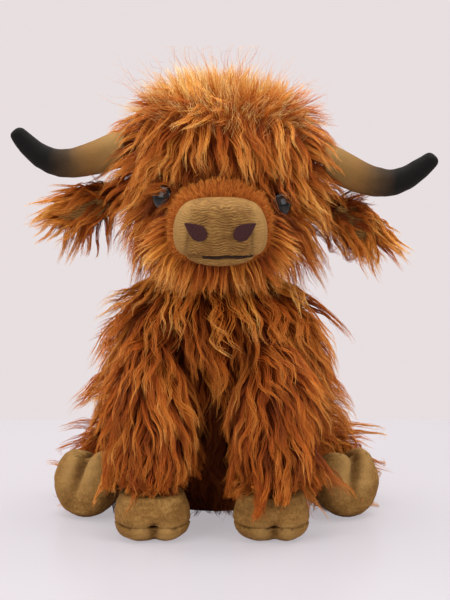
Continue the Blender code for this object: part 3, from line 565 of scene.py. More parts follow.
# Fur
hairRoom = {"share": 0.03, "more": 9.5 * mm, "floor": 0.4 * mm}
rooms = [hairRoom["share"] * (high - low) + hairRoom["more"] for low, high in zip(cadLow, cadHigh)]
hairLow = [low - room for low, room in zip(cadLow, rooms)][:2] + [hairRoom["floor"]]
hairHigh = [high + room for high, room in zip(cadHigh, rooms)]
# what all hairs share: how they close to a lock, stray, curl and thin to the tip
hairShape = {"clumps": (0.75, 1.12), "strayPower": 5, "strayLess": 0.8, "mostClosed": 0.97,
             "closing": 0.8, "fuzzAlong": 1.7, "fuzzHair": 0.37, "fuzzScale": 60.0,
             "fuzzLeast": 0.6, "fuzzStray": 3.0, "thinning": 0.88, "widths": (0.75, 1.25),
             "tones": (-0.16, 0.16), "mapLength": 0.97, "mapStart": 0.015, "mapWidth": 0.006,
             "toneEnds": (0.02, 0.98)}
growerInputs = {"Skin": "Geometry", "Locks": "Object", "Roots": "Object", "Density": "Float",
                "Points": "Int", "Radius": "Float", "Clump": "Float", "Frizz": "Float",
                "Short": "Float", "Seed": "Int", "Finish": "Material"}


def makeGrower(look):
    # hairs on a skin, each following the nearest lock and drawn in to its tip
    tree = bpy.data.node_groups.new("growHair", "GeometryNodeTree")
    for label, kind in growerInputs.items():
        tree.interface.new_socket(label, in_out="INPUT", socket_type="NodeSocket" + kind)
    tree.interface.new_socket("Hair", in_out="OUTPUT", socket_type="NodeSocketGeometry")
    board = Board(tree)
    start = board.node("NodeGroupInput")
    given = {label: board.other(start, label) for label in growerInputs}

    def named(label, kind="FLOAT"):
        return board.node("GeometryNodeInputNamedAttribute", {"data_type": kind},
                          {"Name": label})

    def store(geometry, label, value, kind="FLOAT", domain="POINT"):
        settings = {"data_type": kind, "domain": domain}
        return board.node("GeometryNodeStoreNamedAttribute", settings,
                          {"Geometry": geometry, "Name": label, "Value": value})

    def chance(low, high, key, salt):
        inputs = {2: low, 3: high, "ID": key, "Seed": given["Seed"] * 7 + salt}
        return board.node("FunctionNodeRandomValue", {"data_type": "FLOAT"}, inputs, output=1)

    def onCurve(factor, curve):
        return board.node("GeometryNodeSampleCurve", {"mode": "FACTOR", "data_type": "FLOAT"}, {
            "Curves": locks, "Factor": factor, "Curve Index": curve}, output="Position")

    scattered = board.node("GeometryNodeDistributePointsOnFaces", {}, {
        "Mesh": given["Skin"], "Density": given["Density"] * named("coat"),
        "Seed": given["Seed"]})
    index = board.node("GeometryNodeInputIndex")
    points = store(scattered, "hair", index, "INT")
    locks, rootPoints = (board.node("GeometryNodeObjectInfo", {}, {"Object": given[label]},
                                    output="Geometry") for label in ("Locks", "Roots"))
    place = board.node("GeometryNodeInputPosition")
    nearest = board.node("GeometryNodeSampleNearest", {"domain": "POINT"},
                         {"Geometry": rootPoints, "Sample Position": place})
    points = store(points, "lock", nearest, "INT")
    copies = board.node("GeometryNodeDuplicateElements", {"domain": "POINT"},
                        {"Geometry": points, "Amount": given["Points"]})
    along = board.other(copies, "Duplicate Index") / (given["Points"] - 1)
    copies = store(copies, "along", along)
    along = named("along")
    hair = named("hair", "INT")
    lock = named("lock", "INT")
    reach = chance(given["Short"], 1.0, hair, 1)
    onLock = onCurve(along * reach, lock)
    offset = board.vectorSum("SUBTRACT", place, onCurve(0.0, lock))
    stray = chance(0.0, 1.0, hair, 2) ** look["strayPower"]
    pull = given["Clump"] * chance(*look["clumps"], lock, 3) * (1 - stray * look["strayLess"])
    closing = 1 - pull.atMost(look["mostClosed"]) * (along ** look["closing"])
    offset = board.scaled(offset, closing)
    fuzz = board.node("ShaderNodeTexNoise", {"noise_dimensions": "4D"}, {
        "Vector": place, "W": along * look["fuzzAlong"] + hair * look["fuzzHair"],
        "Scale": look["fuzzScale"], "Detail": 1.0}, output="Color")
    fuzz = board.vectorSum("SUBTRACT", fuzz, (0.5, 0.5, 0.5))
    fuzz = board.scaled(fuzz, given["Frizz"] * along
                        * (look["fuzzLeast"] + stray * look["fuzzStray"]))
    where = board.vectorSum("ADD", board.vectorSum("ADD", onLock, offset), fuzz)
    where = board.vectorSum("MAXIMUM", where, hairLow)
    where = board.vectorSum("MINIMUM", where, hairHigh)
    moved = board.node("GeometryNodeSetPosition", {}, {"Geometry": copies, "Position": where})
    curves = board.node("GeometryNodePointsToCurves", {}, {
        "Points": moved, "Curve Group ID": hair, "Weight": along})
    taper = (1.0 - along * along * look["thinning"]) * chance(*look["widths"], hair, 4)
    curves = board.node("GeometryNodeSetCurveRadius", {}, {
        "Curve": curves, "Radius": given["Radius"] * taper})
    ring = board.node("GeometryNodeCurvePrimitiveCircle", {}, {"Resolution": 3, "Radius": 1.0})
    ring = store(ring, "ring", place, "FLOAT_VECTOR")
    tubes = board.node("GeometryNodeCurveToMesh", {}, {
        "Curve": curves, "Profile Curve": ring, "Fill Caps": True})
    radius = board.node("GeometryNodeInputRadius")
    thickness = tubes.socket.node.inputs.get("Scale")   # not every version has this socket
    if thickness:
        board.join(radius, thickness)
    shade = board.node("GeometryNodeSampleIndex", {"data_type": "FLOAT", "domain": "POINT"}, {
        "Geometry": rootPoints, "Value": named("shade"), "Index": lock})
    tone = shade + chance(*look["tones"], hair, 6)
    spread = board.node("ShaderNodeSeparateXYZ", {}, [named("ring", "FLOAT_VECTOR")])
    u = along * look["mapLength"] + look["mapStart"] + spread * look["mapWidth"]
    darkest, palest = look["toneEnds"]
    v = tone.atMost(palest).atLeast(darkest) + board.other(spread, "Y") * look["mapWidth"]
    baked = board.node("ShaderNodeCombineXYZ", {}, [u, v, 0.0])
    tubes = store(tubes, "OFBake", baked, "FLOAT2", "CORNER")
    tubes = board.node("GeometryNodeSetShadeSmooth", {}, {"Geometry": tubes})
    solid = board.node("GeometryNodeRealizeInstances", {}, {"Geometry": tubes})
    done = board.node("GeometryNodeSetMaterial", {}, {
        "Geometry": solid, "Material": given["Finish"]})
    board.node("NodeGroupOutput", {}, {"Hair": done})
    return tree


grower = makeGrower(hairShape)
# what all locks share; a pair is the least and the most of a random draw
lockShape = {"coated": 0.2, "tries": 4, "apart": 0.85, "steps": 12, "flatten": 0.9,
             "lengths": (0.72, 1.22), "rootLift": 0.15, "turns": (0.8, 1.25),
             "sways": (0.5, 1.3), "curls": (-0.9, 0.9), "fading": 0.3, "keep": 0.65,
             "follow": 0.35, "depth": 0.7, "swayStart": 1.6, "riseStart": 2.5, "gather": 0.55,
             "holdStart": 2.5, "bigShades": (-0.22, 0.22), "smallShades": (-0.14, 0.14),
             "smallSway": 0.5}


def pickRoots(mesh, coat, spacing, chooser):
    # evenly scattered places on the coated faces
    points, normals = meshArrays(mesh)
    corners = np.array([t.vertices for t in mesh.loop_triangles])
    a, b, c = (points[corners[:, i]] for i in range(3))
    area = np.linalg.norm(np.cross(b - a, c - a), axis=1) / 2
    weight = area * (coat[corners].mean(1) > lockShape["coated"])
    count = int(weight.sum() / spacing ** 2 * lockShape["tries"])
    faces = chooser.choice(len(area), count, p=weight / weight.sum())
    r, s = np.sqrt(chooser.random(count)), chooser.random(count)
    mixes = np.stack([1 - r, r * (1 - s), r * s], 1)
    places = (points[corners[faces]] * mixes[:, :, None]).sum(1)
    facing = unit((normals[corners[faces]] * mixes[:, :, None]).sum(1))
    chosen, tree = [], nearTree(places)
    taken = np.zeros(count, bool)
    for i, p in enumerate(places):
        if not taken[i]:
            chosen.append(i)
            for _, j, _ in tree.find_range(p, spacing * lockShape["apart"]):
                taken[j] = True
    return places[chosen], facing[chosen]


def nearTree(places):
    tree = KDTree(len(places))
    for i, p in enumerate(places):
        tree.insert(p, i)
    tree.balance()
    return tree


def traceLocks(roots, normals, look, skinTree, chooser, sway):
    # each lock leaves the skin, bends to its comb, sways and sinks
    count, steps, shape = len(roots), lockShape["steps"], lockShape
    comb = look["comb"]
    into = np.clip((comb * normals).sum(1), None, 0)[:, None]
    comb = unit(comb - normals * into * shape["flatten"])
    lift, length, sink = (np.broadcast_to(look[key], count)[:, None]
                          for key in ("lift", "length", "sink"))
    length = length * chooser.uniform(*shape["lengths"], (count, 1))
    heading = unit(normals * (lift + shape["rootLift"]) + comb * (1 - lift))
    phase = chooser.uniform(0, 2 * math.pi, (count, 1))
    turns = length / look["wave"] * chooser.uniform(*shape["turns"], (count, 1))
    sway = sway * chooser.uniform(*shape["sways"], (count, 1))
    curl = chooser.uniform(*shape["curls"], (count, 1))
    place = roots.copy()
    path = [roots.copy()]
    down = np.array([0, 0, -1.0])
    for i in range(1, steps + 1):
        t = i / steps
        aim = comb * (1 - shape["fading"] * t) + normals * lift * (1 - t) + down * sink * t
        heading = unit(heading * shape["keep"] + unit(aim) * shape["follow"])
        aside = unit(np.cross(heading, normals))
        out = unit(np.cross(aside, heading))
        angle = phase + 2 * math.pi * turns * t
        swing = aside * np.cos(angle) + out * np.sin(angle) * curl * shape["depth"]
        swing = swing * sway * min(1, shape["swayStart"] * t)
        place = place + (heading + swing) * length / steps
        for j in range(count):
            spot, facing, _, _ = skinTree.find_nearest(place[j])
            height = (Vector(place[j]) - spot).dot(facing)
            need = look["height"] * min(1.0, shape["riseStart"] * t)
            if height < need:
                place[j] = place[j] + np.array(facing) * (need - height)
        place[:, 2] = np.maximum(place[:, 2], look["floor"])
        path.append(place.copy())
    return np.stack(path, 1)


def followMain(paths, main, hold):
    # small locks keep beside the big lock that they grow from
    tree = nearTree(main[:, 0])
    nearest = np.array([tree.find(p)[1] for p in paths[:, 0]])
    along = np.linspace(0, 1, paths.shape[1])[None, :, None]
    gap = paths[:, :1] - main[nearest][:, :1]
    beside = main[nearest] + gap * (1 - lockShape["gather"] * along)
    held = (beside - paths) * hold * np.minimum(1, along * lockShape["holdStart"])
    return paths + held, nearest


def lockObjects(name, paths, shade):
    curve = bpy.data.curves.new(name + "Locks", "CURVE")
    curve.dimensions = "3D"
    for route in paths:
        spline = curve.splines.new("POLY")
        spline.points.add(len(route) - 1)
        spline.points.foreach_set("co", np.c_[route, np.ones(len(route))].ravel())
    mesh = bpy.data.meshes.new(name + "Roots")
    mesh.from_pydata(paths[:, 0].tolist(), [], [])
    setAttribute(mesh, "shade", shade)
    return [bpy.data.objects.new(data.name, data) for data in (curve, mesh)]


def combed(comb, lift, length, sink, shade):
    return {"comb": unit(comb), "lift": lift, "length": length, "sink": sink, "shade": shade}


def sideLook(look, side, more=0):
    # the same hair with other random draws on each side
    return dict(look, seed=look["seed"] + more + 20 * sides[side])


def dress(piece, body, nodes):
    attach(piece, body)
    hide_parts(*nodes)


def coverPiece(piece, body, nodes):
    dress(piece, body, nodes)


hairTotal = 0


def growCoat(name, skin, body, nodes, coat, combing, look, layers, paint=furPaint):
    # big locks, small locks beside them, and layers of hair that follow the small ones
    global hairTotal
    mesh = skin.data
    mesh.calc_loop_triangles()
    setAttribute(mesh, "coat", coat)
    tree = BVHTree.FromObject(skin, bpy.context.evaluated_depsgraph_get())
    chooser = np.random.default_rng(look["seed"])
    roots, normals = pickRoots(mesh, coat, look["bigSpacing"], chooser)
    main = traceLocks(roots, normals, dict(look, **combing(roots, normals)), tree, chooser,
                      look["sway"])
    mainShade = chooser.uniform(*lockShape["bigShades"], len(main))
    roots, normals = pickRoots(mesh, coat, look["spacing"], chooser)
    given = combing(roots, normals)
    paths = traceLocks(roots, normals, dict(look, **given), tree, chooser,
                       look["sway"] * lockShape["smallSway"])
    paths, nearest = followMain(paths, main, look["hold"])
    own = chooser.uniform(*lockShape["smallShades"], len(paths))
    locks, starts = lockObjects(name, paths, given["shade"] + mainShade[nearest] + own)
    for layer in range(layers):
        host = bpy.data.objects.new(name + "Host", mesh)
        for helper in (host, locks, starts):
            bpy.context.scene.collection.objects.link(helper)
        growth = host.modifiers.new("growth", "NODES")
        growth.node_group = grower
        values = {"Locks": locks, "Roots": starts, "Seed": look["seed"] + layer,
                  "Finish": paint}
        for label in ("Density", "Points", "Radius", "Clump", "Frizz", "Short"):
            values[label] = look[label.lower()]
        for socket in grower.interface.items_tree:
            if socket.name in values:
                growth[socket.identifier] = values[socket.name]
        hair = evaluatedMesh(host)
        bpy.data.objects.remove(host)
        for helper in (locks, starts):
            bpy.context.scene.collection.objects.unlink(helper)
        piece = addObject(f"{name}{layer + 1}", hair, paint)
        dress(piece, body, nodes)
        triangles = sum(len(p.vertices) - 2 for p in hair.polygons)
        hairTotal += triangles
        print(f"{piece.name}: {len(paths)} locks, {triangles} triangles")
    bpy.data.objects.remove(locks)
    bpy.data.objects.remove(starts)


# Head: hair stands up on the crown, falls over the brow and sweeps out over the cheeks
headLook = {
    "seed": 11, "bigSpacing": 10 * mm, "spacing": 4.4 * mm, "wave": 22 * mm, "sway": 0.80,
    "hold": 0.60, "height": 2 * mm, "floor": 1 * mm, "density": 120000, "points": 7,
    "radius": 0.19 * mm, "clump": 0.84, "frizz": 5 * mm, "short": 0.62,
    # a pair is where a stretch begins and where it is full
    "places": {"top": (0.40, 0.92), "front": (0.05, 0.55), "side": (0.55, 0.85),
               "under": (-0.35, -0.75), "beard": (-0.3, -0.75), "cheekTop": (0.02, -0.25),
               "backSide": (0.3, 0.9), "browSide": (0.75, 0.45), "browTop": (-0.1, 0.2),
               "fringe": (1.80, 1.35), "fringeTop": (-0.25, 0.0), "crown": (0.45, 0.80),
               "cheek": (66 * mm, 48 * mm), "socket": (22 * mm, 12 * mm),
               "neck": (16 * mm, 26 * mm), "neckHeight": 12 * mm, "back": (0, 30 * mm),
               "horn": 22 * mm, "ear": 19 * mm, "lid": 6 * mm, "outer": (0, 4 * mm)},
    "lengths": {"all": 32 * mm, "top": 17 * mm, "side": 9 * mm, "under": 13 * mm,
                "horn": 9 * mm, "ear": 8 * mm, "lid": 19 * mm, "outer": 11 * mm,
                "rightLid": 5 * mm, "rightOuter": 3 * mm},
    # the fringe ends where the short pile of the face begins, and lower beside the eyes
    "fringe": {"start": 4 * mm, "reach": 1.15, "least": 9 * mm, "most": 40 * mm,
               "atEye": 6 * mm, "eyeWidth": 9 * mm},
    "lifts": {"all": 0.34, "top": 0.30, "cheek": 0.04, "side": 0.10, "lid": 0.30, "outer": 0.12},
    "sinks": {"all": 0.60, "top": 0.50, "cheek": 0.25},
    "shades": {"all": 0.56, "top": 0.40, "cheek": 0.36, "beard": 0.50, "back": 0.12,
               "fringe": 0.34, "socket": 0.70},
    "noise": (42, 3), "wander": {"all": 0.75, "cheek": 0.20},
    "skin": {"voxel": 3.2 * mm, "smooth": 6, "inset": 8 * mm},
    "thinner": {"back": 0.45, "crown": 0.72},
    "aims": {"top": (0.5, -0.2, 0.35), "front": (0.9, -0.1, -1), "back": (0.5, 0, -1),
             "fan": (0, -0.1, -0.55), "lid": (0, -0.6, -1.2), "outer": (0, -0.5, -0.2),
             "outerIn": 1.3, "hornOut": 2.2, "earOut": 1.1, "stand": 0.9}}
crownLook = {
    "seed": 73, "bigSpacing": 10 * mm, "spacing": 4.4 * mm, "wave": 30 * mm, "sway": 0.65,
    "hold": 0.5, "height": 2 * mm, "floor": 1 * mm, "density": 425000, "points": 7,
    "radius": 0.10 * mm, "clump": 0.66, "frizz": 7 * mm, "short": 0.35,
    "edge": (0.25, 0.75), "aim": (1.1, -0.1, 0.3), "noise": (30, 71), "wander": 0.85, "lift": 0.58,
    "sink": 0.10, "length": 20 * mm, "leftLess": 10 * mm, "leftEdge": (-0.1, 0.7), "shade": 0.62,
    "topShade": 0.36, "topEdge": (0.35, 0.75)}
# the wisps are pale gold, partly painted glow of light shining through them
wispLook = dict(crownLook, seed=79, density=26000, points=9, radius=0.11 * mm, clump=0.25,
                frizz=14 * mm, short=0.55, edge=(0.40, 0.80), lift=0.8, length=40 * mm,
                leftLess=14 * mm, leftEdge=(0.0, 0.8), shade=0.85, topShade=0)
# beforeEye and beside are in mm
lashLook = dict(headLook, seed=97, bigSpacing=6 * mm, spacing=2.2 * mm, sway=0.35, hold=0.2,
                density=700000, radius=0.16 * mm, clump=0.6, noise=(60, 83), wander=0.35,
                lift=0.25, sink=0.15, longer=1.05, shade=0.26, beforeEye=10, beside=(-3.5, 0, 4.5),
                inner=(7 * mm, 9 * mm), rim=(17 * mm, 14 * mm), above=(0, 4 * mm),
                outer=(0, -5 * mm))
faceLook = {"halfWidth": 33.5 * mm, "browHalfWidth": 20 * mm, "halfHeight": 28.5 * mm,
            "middleZ": 197 * mm, "browZ": 204 * mm, "eyeRadius": 6.0 * mm, "eyeEdge": 2.5 * mm,
            "edge": (0.92, 1.04)}
faceX = muzzleBox[2][0]
faceMiddle = np.array([faceX, muzzleBox[0][1], faceLook["middleZ"]])


def faceReach(points):
    # below 1 inside the short-pile face, which narrows to the brow
    high = step(faceLook["browZ"], faceLook["middleZ"] + faceLook["halfHeight"], points[:, 2])
    half = faceLook["halfWidth"] * (1 - high) + faceLook["browHalfWidth"] * high
    aside = np.abs(points[:, 0] - faceX) / half
    tall = np.abs(points[:, 2] - faceLook["middleZ"]) / faceLook["halfHeight"]
    return squareReach(aside, tall)


def headShares(points):
    # places in the head's own frame, and as shares of half its size
    p = toHead(points)
    return p, (p - headMiddle) / headHalf


def headCoat(points):
    # bare on the face, round the eyes and under the neck, and thinner on top and behind
    p, q = headShares(points)
    at, thinner = headLook["places"], headLook["thinner"]
    coat = np.where(p[:, 1] < 0, step(*faceLook["edge"], faceReach(points)), 1.0)
    for place in eyePlaces.values():
        gap = np.linalg.norm(p - place, axis=1)
        rim = faceLook["eyeRadius"]
        coat = coat * step(rim, rim + faceLook["eyeEdge"], gap)
    neck = step(*at["neck"], np.hypot(p[:, 0], p[:, 1]))
    coat = np.where(p[:, 2] < headLow[2] + at["neckHeight"], np.minimum(coat, neck), coat)
    coat = coat * (1 - thinner["back"] * step(*at["back"], p[:, 1]))
    return coat * (1 - thinner["crown"] * step(*at["crown"], q[:, 2]))


def faceFan(roots):
    # hair beside the muzzle sweeps away from it
    return unit((roots - faceMiddle) * np.array([1, 0, 1])) + np.array(headLook["aims"]["fan"])


def nearEye(points):
    p = toHead(points)
    reach = [np.linalg.norm(p - place, axis=1) for place in eyePlaces.values()]
    return step(*headLook["places"]["socket"], np.minimum(*reach))


def nearRoot(p, places, reach):
    # 1 at the root of a horn or an ear
    return sum(bell(np.linalg.norm(p - place, axis=1), reach, 4) for place in places)


def fringeRoom(p, roots):
    # how long the fringe is where it hangs to the face
    fringe = headLook["fringe"]
    atEye = bell(np.abs(p[:, 0]) - eyePlaces["left"][0], fringe["eyeWidth"])
    room = roots[:, 2] - faceLook["middleZ"] - faceLook["halfHeight"] + fringe["start"]
    room = np.clip(room * fringe["reach"], fringe["least"], fringe["most"])
    return room + fringe["atEye"] * atEye


def headComb(roots, normals):
    p, q = headShares(roots)
    x, up = q[:, 0], q[:, 2]
    at, aims, long, tone, lifts, sinks = (
        headLook[part] for part in ("places", "aims", "lengths", "shades", "lifts", "sinks"))
    top = step(*at["top"], up)
    front = step(*at["front"], -q[:, 1])
    fromFace = (roots - faceMiddle) * np.array([1, 0, 1])
    cheek = front * step(*at["cheek"], np.linalg.norm(fromFace, axis=1))
    cheek = cheek * step(*at["cheekTop"], up)
    side = step(*at["side"], np.abs(x)) * (1 - cheek)
    under = step(*at["under"], up)
    brow = front * step(*at["browSide"], np.abs(x)) * step(*at["browTop"], up)
    socket = nearEye(roots)
    lid = socket * np.clip((p[:, 2] - eyePlaces["left"][2]) / at["lid"], 0, 1)
    outer = socket * step(*at["outer"], np.abs(p[:, 0]) - eyePlaces["left"][0])
    atHorn = nearRoot(p, hornRoots, at["horn"])
    atEar = nearRoot(p, earRoots, at["ear"])

    stand = normals * aims["stand"] + leaning(x, aims["top"])
    fall = leaning(x, aims["front"])
    back = leaning(np.sign(x) * step(*at["backSide"], np.abs(x)), aims["back"])
    low = fall * front[:, None] + back * (1 - front)[:, None]
    low = low * (1 - cheek)[:, None] + faceFan(roots) * cheek[:, None]
    comb = stand * top[:, None] + unit(low) * (1 - top)[:, None]
    stray = headLook["wander"]
    strength = stray["all"] + stray["cheek"] * cheek
    comb = comb + wander(roots, *headLook["noise"]) * strength[:, None]
    outwards = np.array([1, 0, 0])
    comb = comb + (atHorn * np.sign(x))[:, None] * aims["hornOut"] * outwards
    comb = comb + (atEar * np.sign(x))[:, None] * aims["earOut"] * outwards
    # a brow hangs over the top of each eye
    comb = comb + lid[:, None] * np.array(aims["lid"])
    comb = comb + outer[:, None] * np.array(aims["outer"])
    comb[:, 0] -= outer * np.sign(p[:, 0]) * aims["outerIn"]

    length = long["all"] - long["top"] * top - long["side"] * side * (1 - under)
    length = length + long["under"] * under * (1 - cheek)
    length = length * (1 - brow * (1 - top)) + fringeRoom(p, roots) * brow * (1 - top)
    length = length + long["horn"] * atHorn
    length = length + long["ear"] * atEar
    right = p[:, 0] < 0
    length = length * (1 - lid) + (long["lid"] + long["rightLid"] * right) * lid
    length = length * (1 - outer) + (long["outer"] + long["rightOuter"] * right) * outer

    lift = lifts["all"] + lifts["top"] * top - lifts["cheek"] * cheek - lifts["side"] * side
    lift = lift + lifts["lid"] * lid + lifts["outer"] * outer
    sink = sinks["all"] - sinks["top"] * top - sinks["cheek"] * cheek
    beard = cheek * step(*at["beard"], up)
    fringe = front * step(*at["fringe"], faceReach(roots)) * step(*at["fringeTop"], up)
    # the hair on top is paler gold, partly painted glow of light shining through it
    shade = tone["all"] + tone["top"] * top + tone["cheek"] * cheek - tone["beard"] * beard
    shade = shade - tone["back"] * (1 - front) * (1 - top)
    shade = shade - tone["fringe"] * fringe
    # painted shade: darker round the eyes, as in the shade of their sockets
    shade = shade - tone["socket"] * socket
    return combed(comb, lift, length, sink, shade)


def upright(look):
    # fine fair hair that stands away from the head, longer on its right side
    def combing(roots, normals):
        _, q = headShares(roots)
        x = q[:, 0]
        comb = normals + leaning(x, look["aim"]) + wander(roots, *look["noise"]) * look["wander"]
        length = look["length"] - look["leftLess"] * step(*look["leftEdge"], x)
        # paler towards the top, partly painted glow of light shining through the hair
        shade = look["shade"] + look["topShade"] * step(*look["topEdge"], q[:, 2])
        return combed(comb, look["lift"], length, look["sink"], shade)

    return combing


def lashTarget():
    # a place before the upper outer edge of the right eye
    before, beside = lashLook["beforeEye"], Vector(lashLook["beside"])
    place = Vector(eyePlaces["right"]) + eyeAim("right") * before * mm + beside * mm
    return np.array(headFrame @ place)


def lashCoat(points):
    gap = toHead(points) - eyePlaces["right"]
    reach = np.linalg.norm(gap, axis=1)
    above = np.maximum(step(*lashLook["above"], gap[:, 2]), step(*lashLook["outer"], gap[:, 0]))
    return step(*lashLook["inner"], reach) * step(*lashLook["rim"], reach) * above


def lashComb(roots, normals):
    # dark hair that hangs over the outer half of the right eye; its dark tone is painted shade of
    # the eye socket
    way = lashTarget() - roots
    length = np.linalg.norm(way, axis=1)
    comb = unit(way) + wander(roots, *lashLook["noise"]) * lashLook["wander"]
    return combed(comb, lashLook["lift"], length * lashLook["longer"], lashLook["sink"],
                  lashLook["shade"])


headSkin = softCopy("headSkin", ["head_coat"], headPaint, hull=True, **headLook["skin"])
points, _ = meshArrays(headSkin.data)
up = headShares(points)[1][:, 2]
growCoat("headFur", headSkin, "head", ["head_coat"], headCoat(points), headComb, headLook, 4)
growCoat("crownFur", headSkin, "head", ["head_coat"], step(*crownLook["edge"], up),
         upright(crownLook), crownLook, 1, crownPaint)
growCoat("lashFur", headSkin, "head", ["head_coat"], lashCoat(points), lashComb, lashLook, 1)
growCoat("wispFur", headSkin, "head", ["head_coat"], step(*wispLook["edge"], up),
         upright(wispLook), wispLook, 1)
coverPiece(headSkin, "head", ["head_coat", "head_stuffing", "eye_washer_left",
                              "eye_washer_right"])
print("head is covered")

# Torso: wavy locks that run down and out from the chest
torsoLook = {
    "seed": 23, "bigSpacing": 12 * mm, "spacing": 5.2 * mm, "wave": 24 * mm, "sway": 1.15,
    "hold": 0.66, "height": 2 * mm, "floor": 1 * mm, "density": 84000, "points": 7,
    "radius": 0.22 * mm, "clump": 0.88, "frizz": 5 * mm, "short": 0.66,
    # a pair is where a stretch begins and where it is full
    "seat": (2 * mm, 9 * mm), "neckHole": (5 * mm, 15 * mm), "behind": (10 * mm, 50 * mm),
    "behindLess": 0.4, "legLeast": 0.35, "legMore": 0.65, "legEdge": (0.7, 1.0),
    "aside": (6 * mm, 50 * mm), "shoulder": (112 * mm, 140 * mm), "low": (45 * mm, 10 * mm),
    "chest": (0, -30 * mm), "neck": (146 * mm, 160 * mm), "middle": (36 * mm, 14 * mm),
    "front": (30 * mm, -20 * mm), "belly": (100 * mm, 60 * mm),
    "out": 0.8, "outShoulder": 0.35, "outLow": 0.4, "over": 0.9,
    "noise": (34, 5), "wander": {"all": 1.35, "over": 0.55},
    "skin": {"voxel": 3.2 * mm, "smooth": 6, "inset": 7.5 * mm},
    "lifts": {"all": 0.40, "shoulder": 0.04, "over": 0.18, "neck": 0.22}, "sink": 0.35,
    "lengths": {"all": 40 * mm, "low": 12 * mm, "shoulder": 7 * mm, "over": 23 * mm,
                "least": 7 * mm, "toFloor": 1.05, "aboveFloor": 4 * mm},
    "shades": {"all": 0.32, "belly": 0.60, "shoulder": 0.12, "aside": 0.20, "neck": 0.22},
    "restFrom": 45 * mm, "restAt": 1 * mm}
torsoTop = boxOf("torso_coat")[1][2]


def legCover(points):
    # thinner where a leg lies against the body
    cover = np.ones(len(points))
    for side in sides:
        for node in ("front_leg_", "rear_leg_"):
            low, high, centre = boxOf(node + side)
            inside = np.linalg.norm((points - centre) / ((high - low) / 2), axis=1)
            share = torsoLook["legMore"] * step(*torsoLook["legEdge"], inside)
            cover = np.minimum(cover, torsoLook["legLeast"] + share)
    return cover


def torsoCoat(points):
    near, far = torsoLook["neckHole"]
    seat = step(*torsoLook["seat"], points[:, 2])
    neck = step(torsoTop - near, torsoTop - far, points[:, 2])
    back = 1 - torsoLook["behindLess"] * step(*torsoLook["behind"], points[:, 1])
    return seat * neck * back * legCover(points)


def torsoComb(roots, normals):
    x, y, z = roots.T
    look, long, tone = torsoLook, torsoLook["lengths"], torsoLook["shades"]
    aside = step(*look["aside"], np.abs(x)) * np.sign(x)
    shoulder = step(*look["shoulder"], z)
    neck = step(*look["neck"], z)
    low = step(*look["low"], z)
    over = shoulder * step(*look["chest"], y) * (1 - neck)
    comb = leaning(aside * (look["out"] - look["outShoulder"] * shoulder), (1, 0, -1))
    comb = comb + normals * low[:, None] * look["outLow"]
    strength = look["wander"]["all"] - look["wander"]["over"] * over
    comb = comb + wander(roots, *look["noise"]) * strength[:, None]
    comb[:, 1] -= over * look["over"]   # the chest hangs over the tops of the legs
    lift = look["lifts"]["all"] - look["lifts"]["shoulder"] * shoulder
    lift = lift + look["lifts"]["over"] * over + look["lifts"]["neck"] * neck * np.abs(aside)
    length = long["all"] - long["low"] * low - long["shoulder"] * shoulder * np.abs(aside)
    length = length + long["over"] * over
    room = np.maximum(long["least"], z * long["toFloor"] - long["aboveFloor"])
    middle = step(*look["middle"], np.abs(x)) * step(*look["front"], y)
    # painted shade: darker low on the belly between the front legs, where deep shade falls
    shade = tone["all"] - tone["belly"] * middle * step(*look["belly"], z)
    shade = shade + tone["shoulder"] * shoulder
    shade = shade + tone["aside"] * np.abs(aside) + tone["neck"] * neck
    return combed(comb, lift, np.minimum(length, room), look["sink"], shade)


torsoSkin = softCopy("torsoSkin", ["torso_coat"], underPaint, hull=True, **torsoLook["skin"])
points, _ = meshArrays(torsoSkin.data)
lowest = points[:, 2].min()
drop = lowest - torsoLook["restAt"]   # it rests on the floor
points[:, 2] -= step(torsoLook["restFrom"], lowest, points[:, 2]) * drop
setPoints(torsoSkin.data, points)
growCoat("torsoFur", torsoSkin, "torso", ["torso_coat"], torsoCoat(points), torsoComb, torsoLook, 3)
coverPiece(torsoSkin, "torso", ["torso_coat", "torso_stuffing"])
print("body is covered")

# Front legs: long locks that part over the hooves
frontLook = {
    "seed": 41, "bigSpacing": 9 * mm, "spacing": 4.4 * mm, "wave": 24 * mm, "sway": 0.85,
    "hold": 0.6, "height": 1.5 * mm, "floor": 0.8 * mm, "density": 450000, "points": 7,
    "radius": 0.21 * mm, "clump": 0.88, "frizz": 4.5 * mm, "short": 0.66,
    "high": (88 * mm, 112 * mm), "foot": (72 * mm, 34 * mm), "toe": (0.1, 0.8),
    "skin": {"voxel": 2.5 * mm, "smooth": 6, "inset": 6 * mm}, "noise": (36, 9),
    "wander": {"all": 0.95, "high": 0.5}, "rise": 0.15, "forwards": 0.5, "outFoot": 1.35,
    "outToe": 1.1, "lift": 0.30, "sink": 0.5,
    "hoofTop": 12 * mm, "room": (10 * mm, 42 * mm),
    # these two are in mm
    "length": 40, "footLonger": 4,
    "shades": {"all": 0.38, "foot": 0.22, "behind": 0.12, "high": 0.14},
    "behind": (0.2, 0.9), "hem": (4 * mm, 8 * mm), "backEdge": (0.3, 0.8), "backLess": 0.6,
    "topEdge": (0.35, 0.85), "topLess": 0.5}


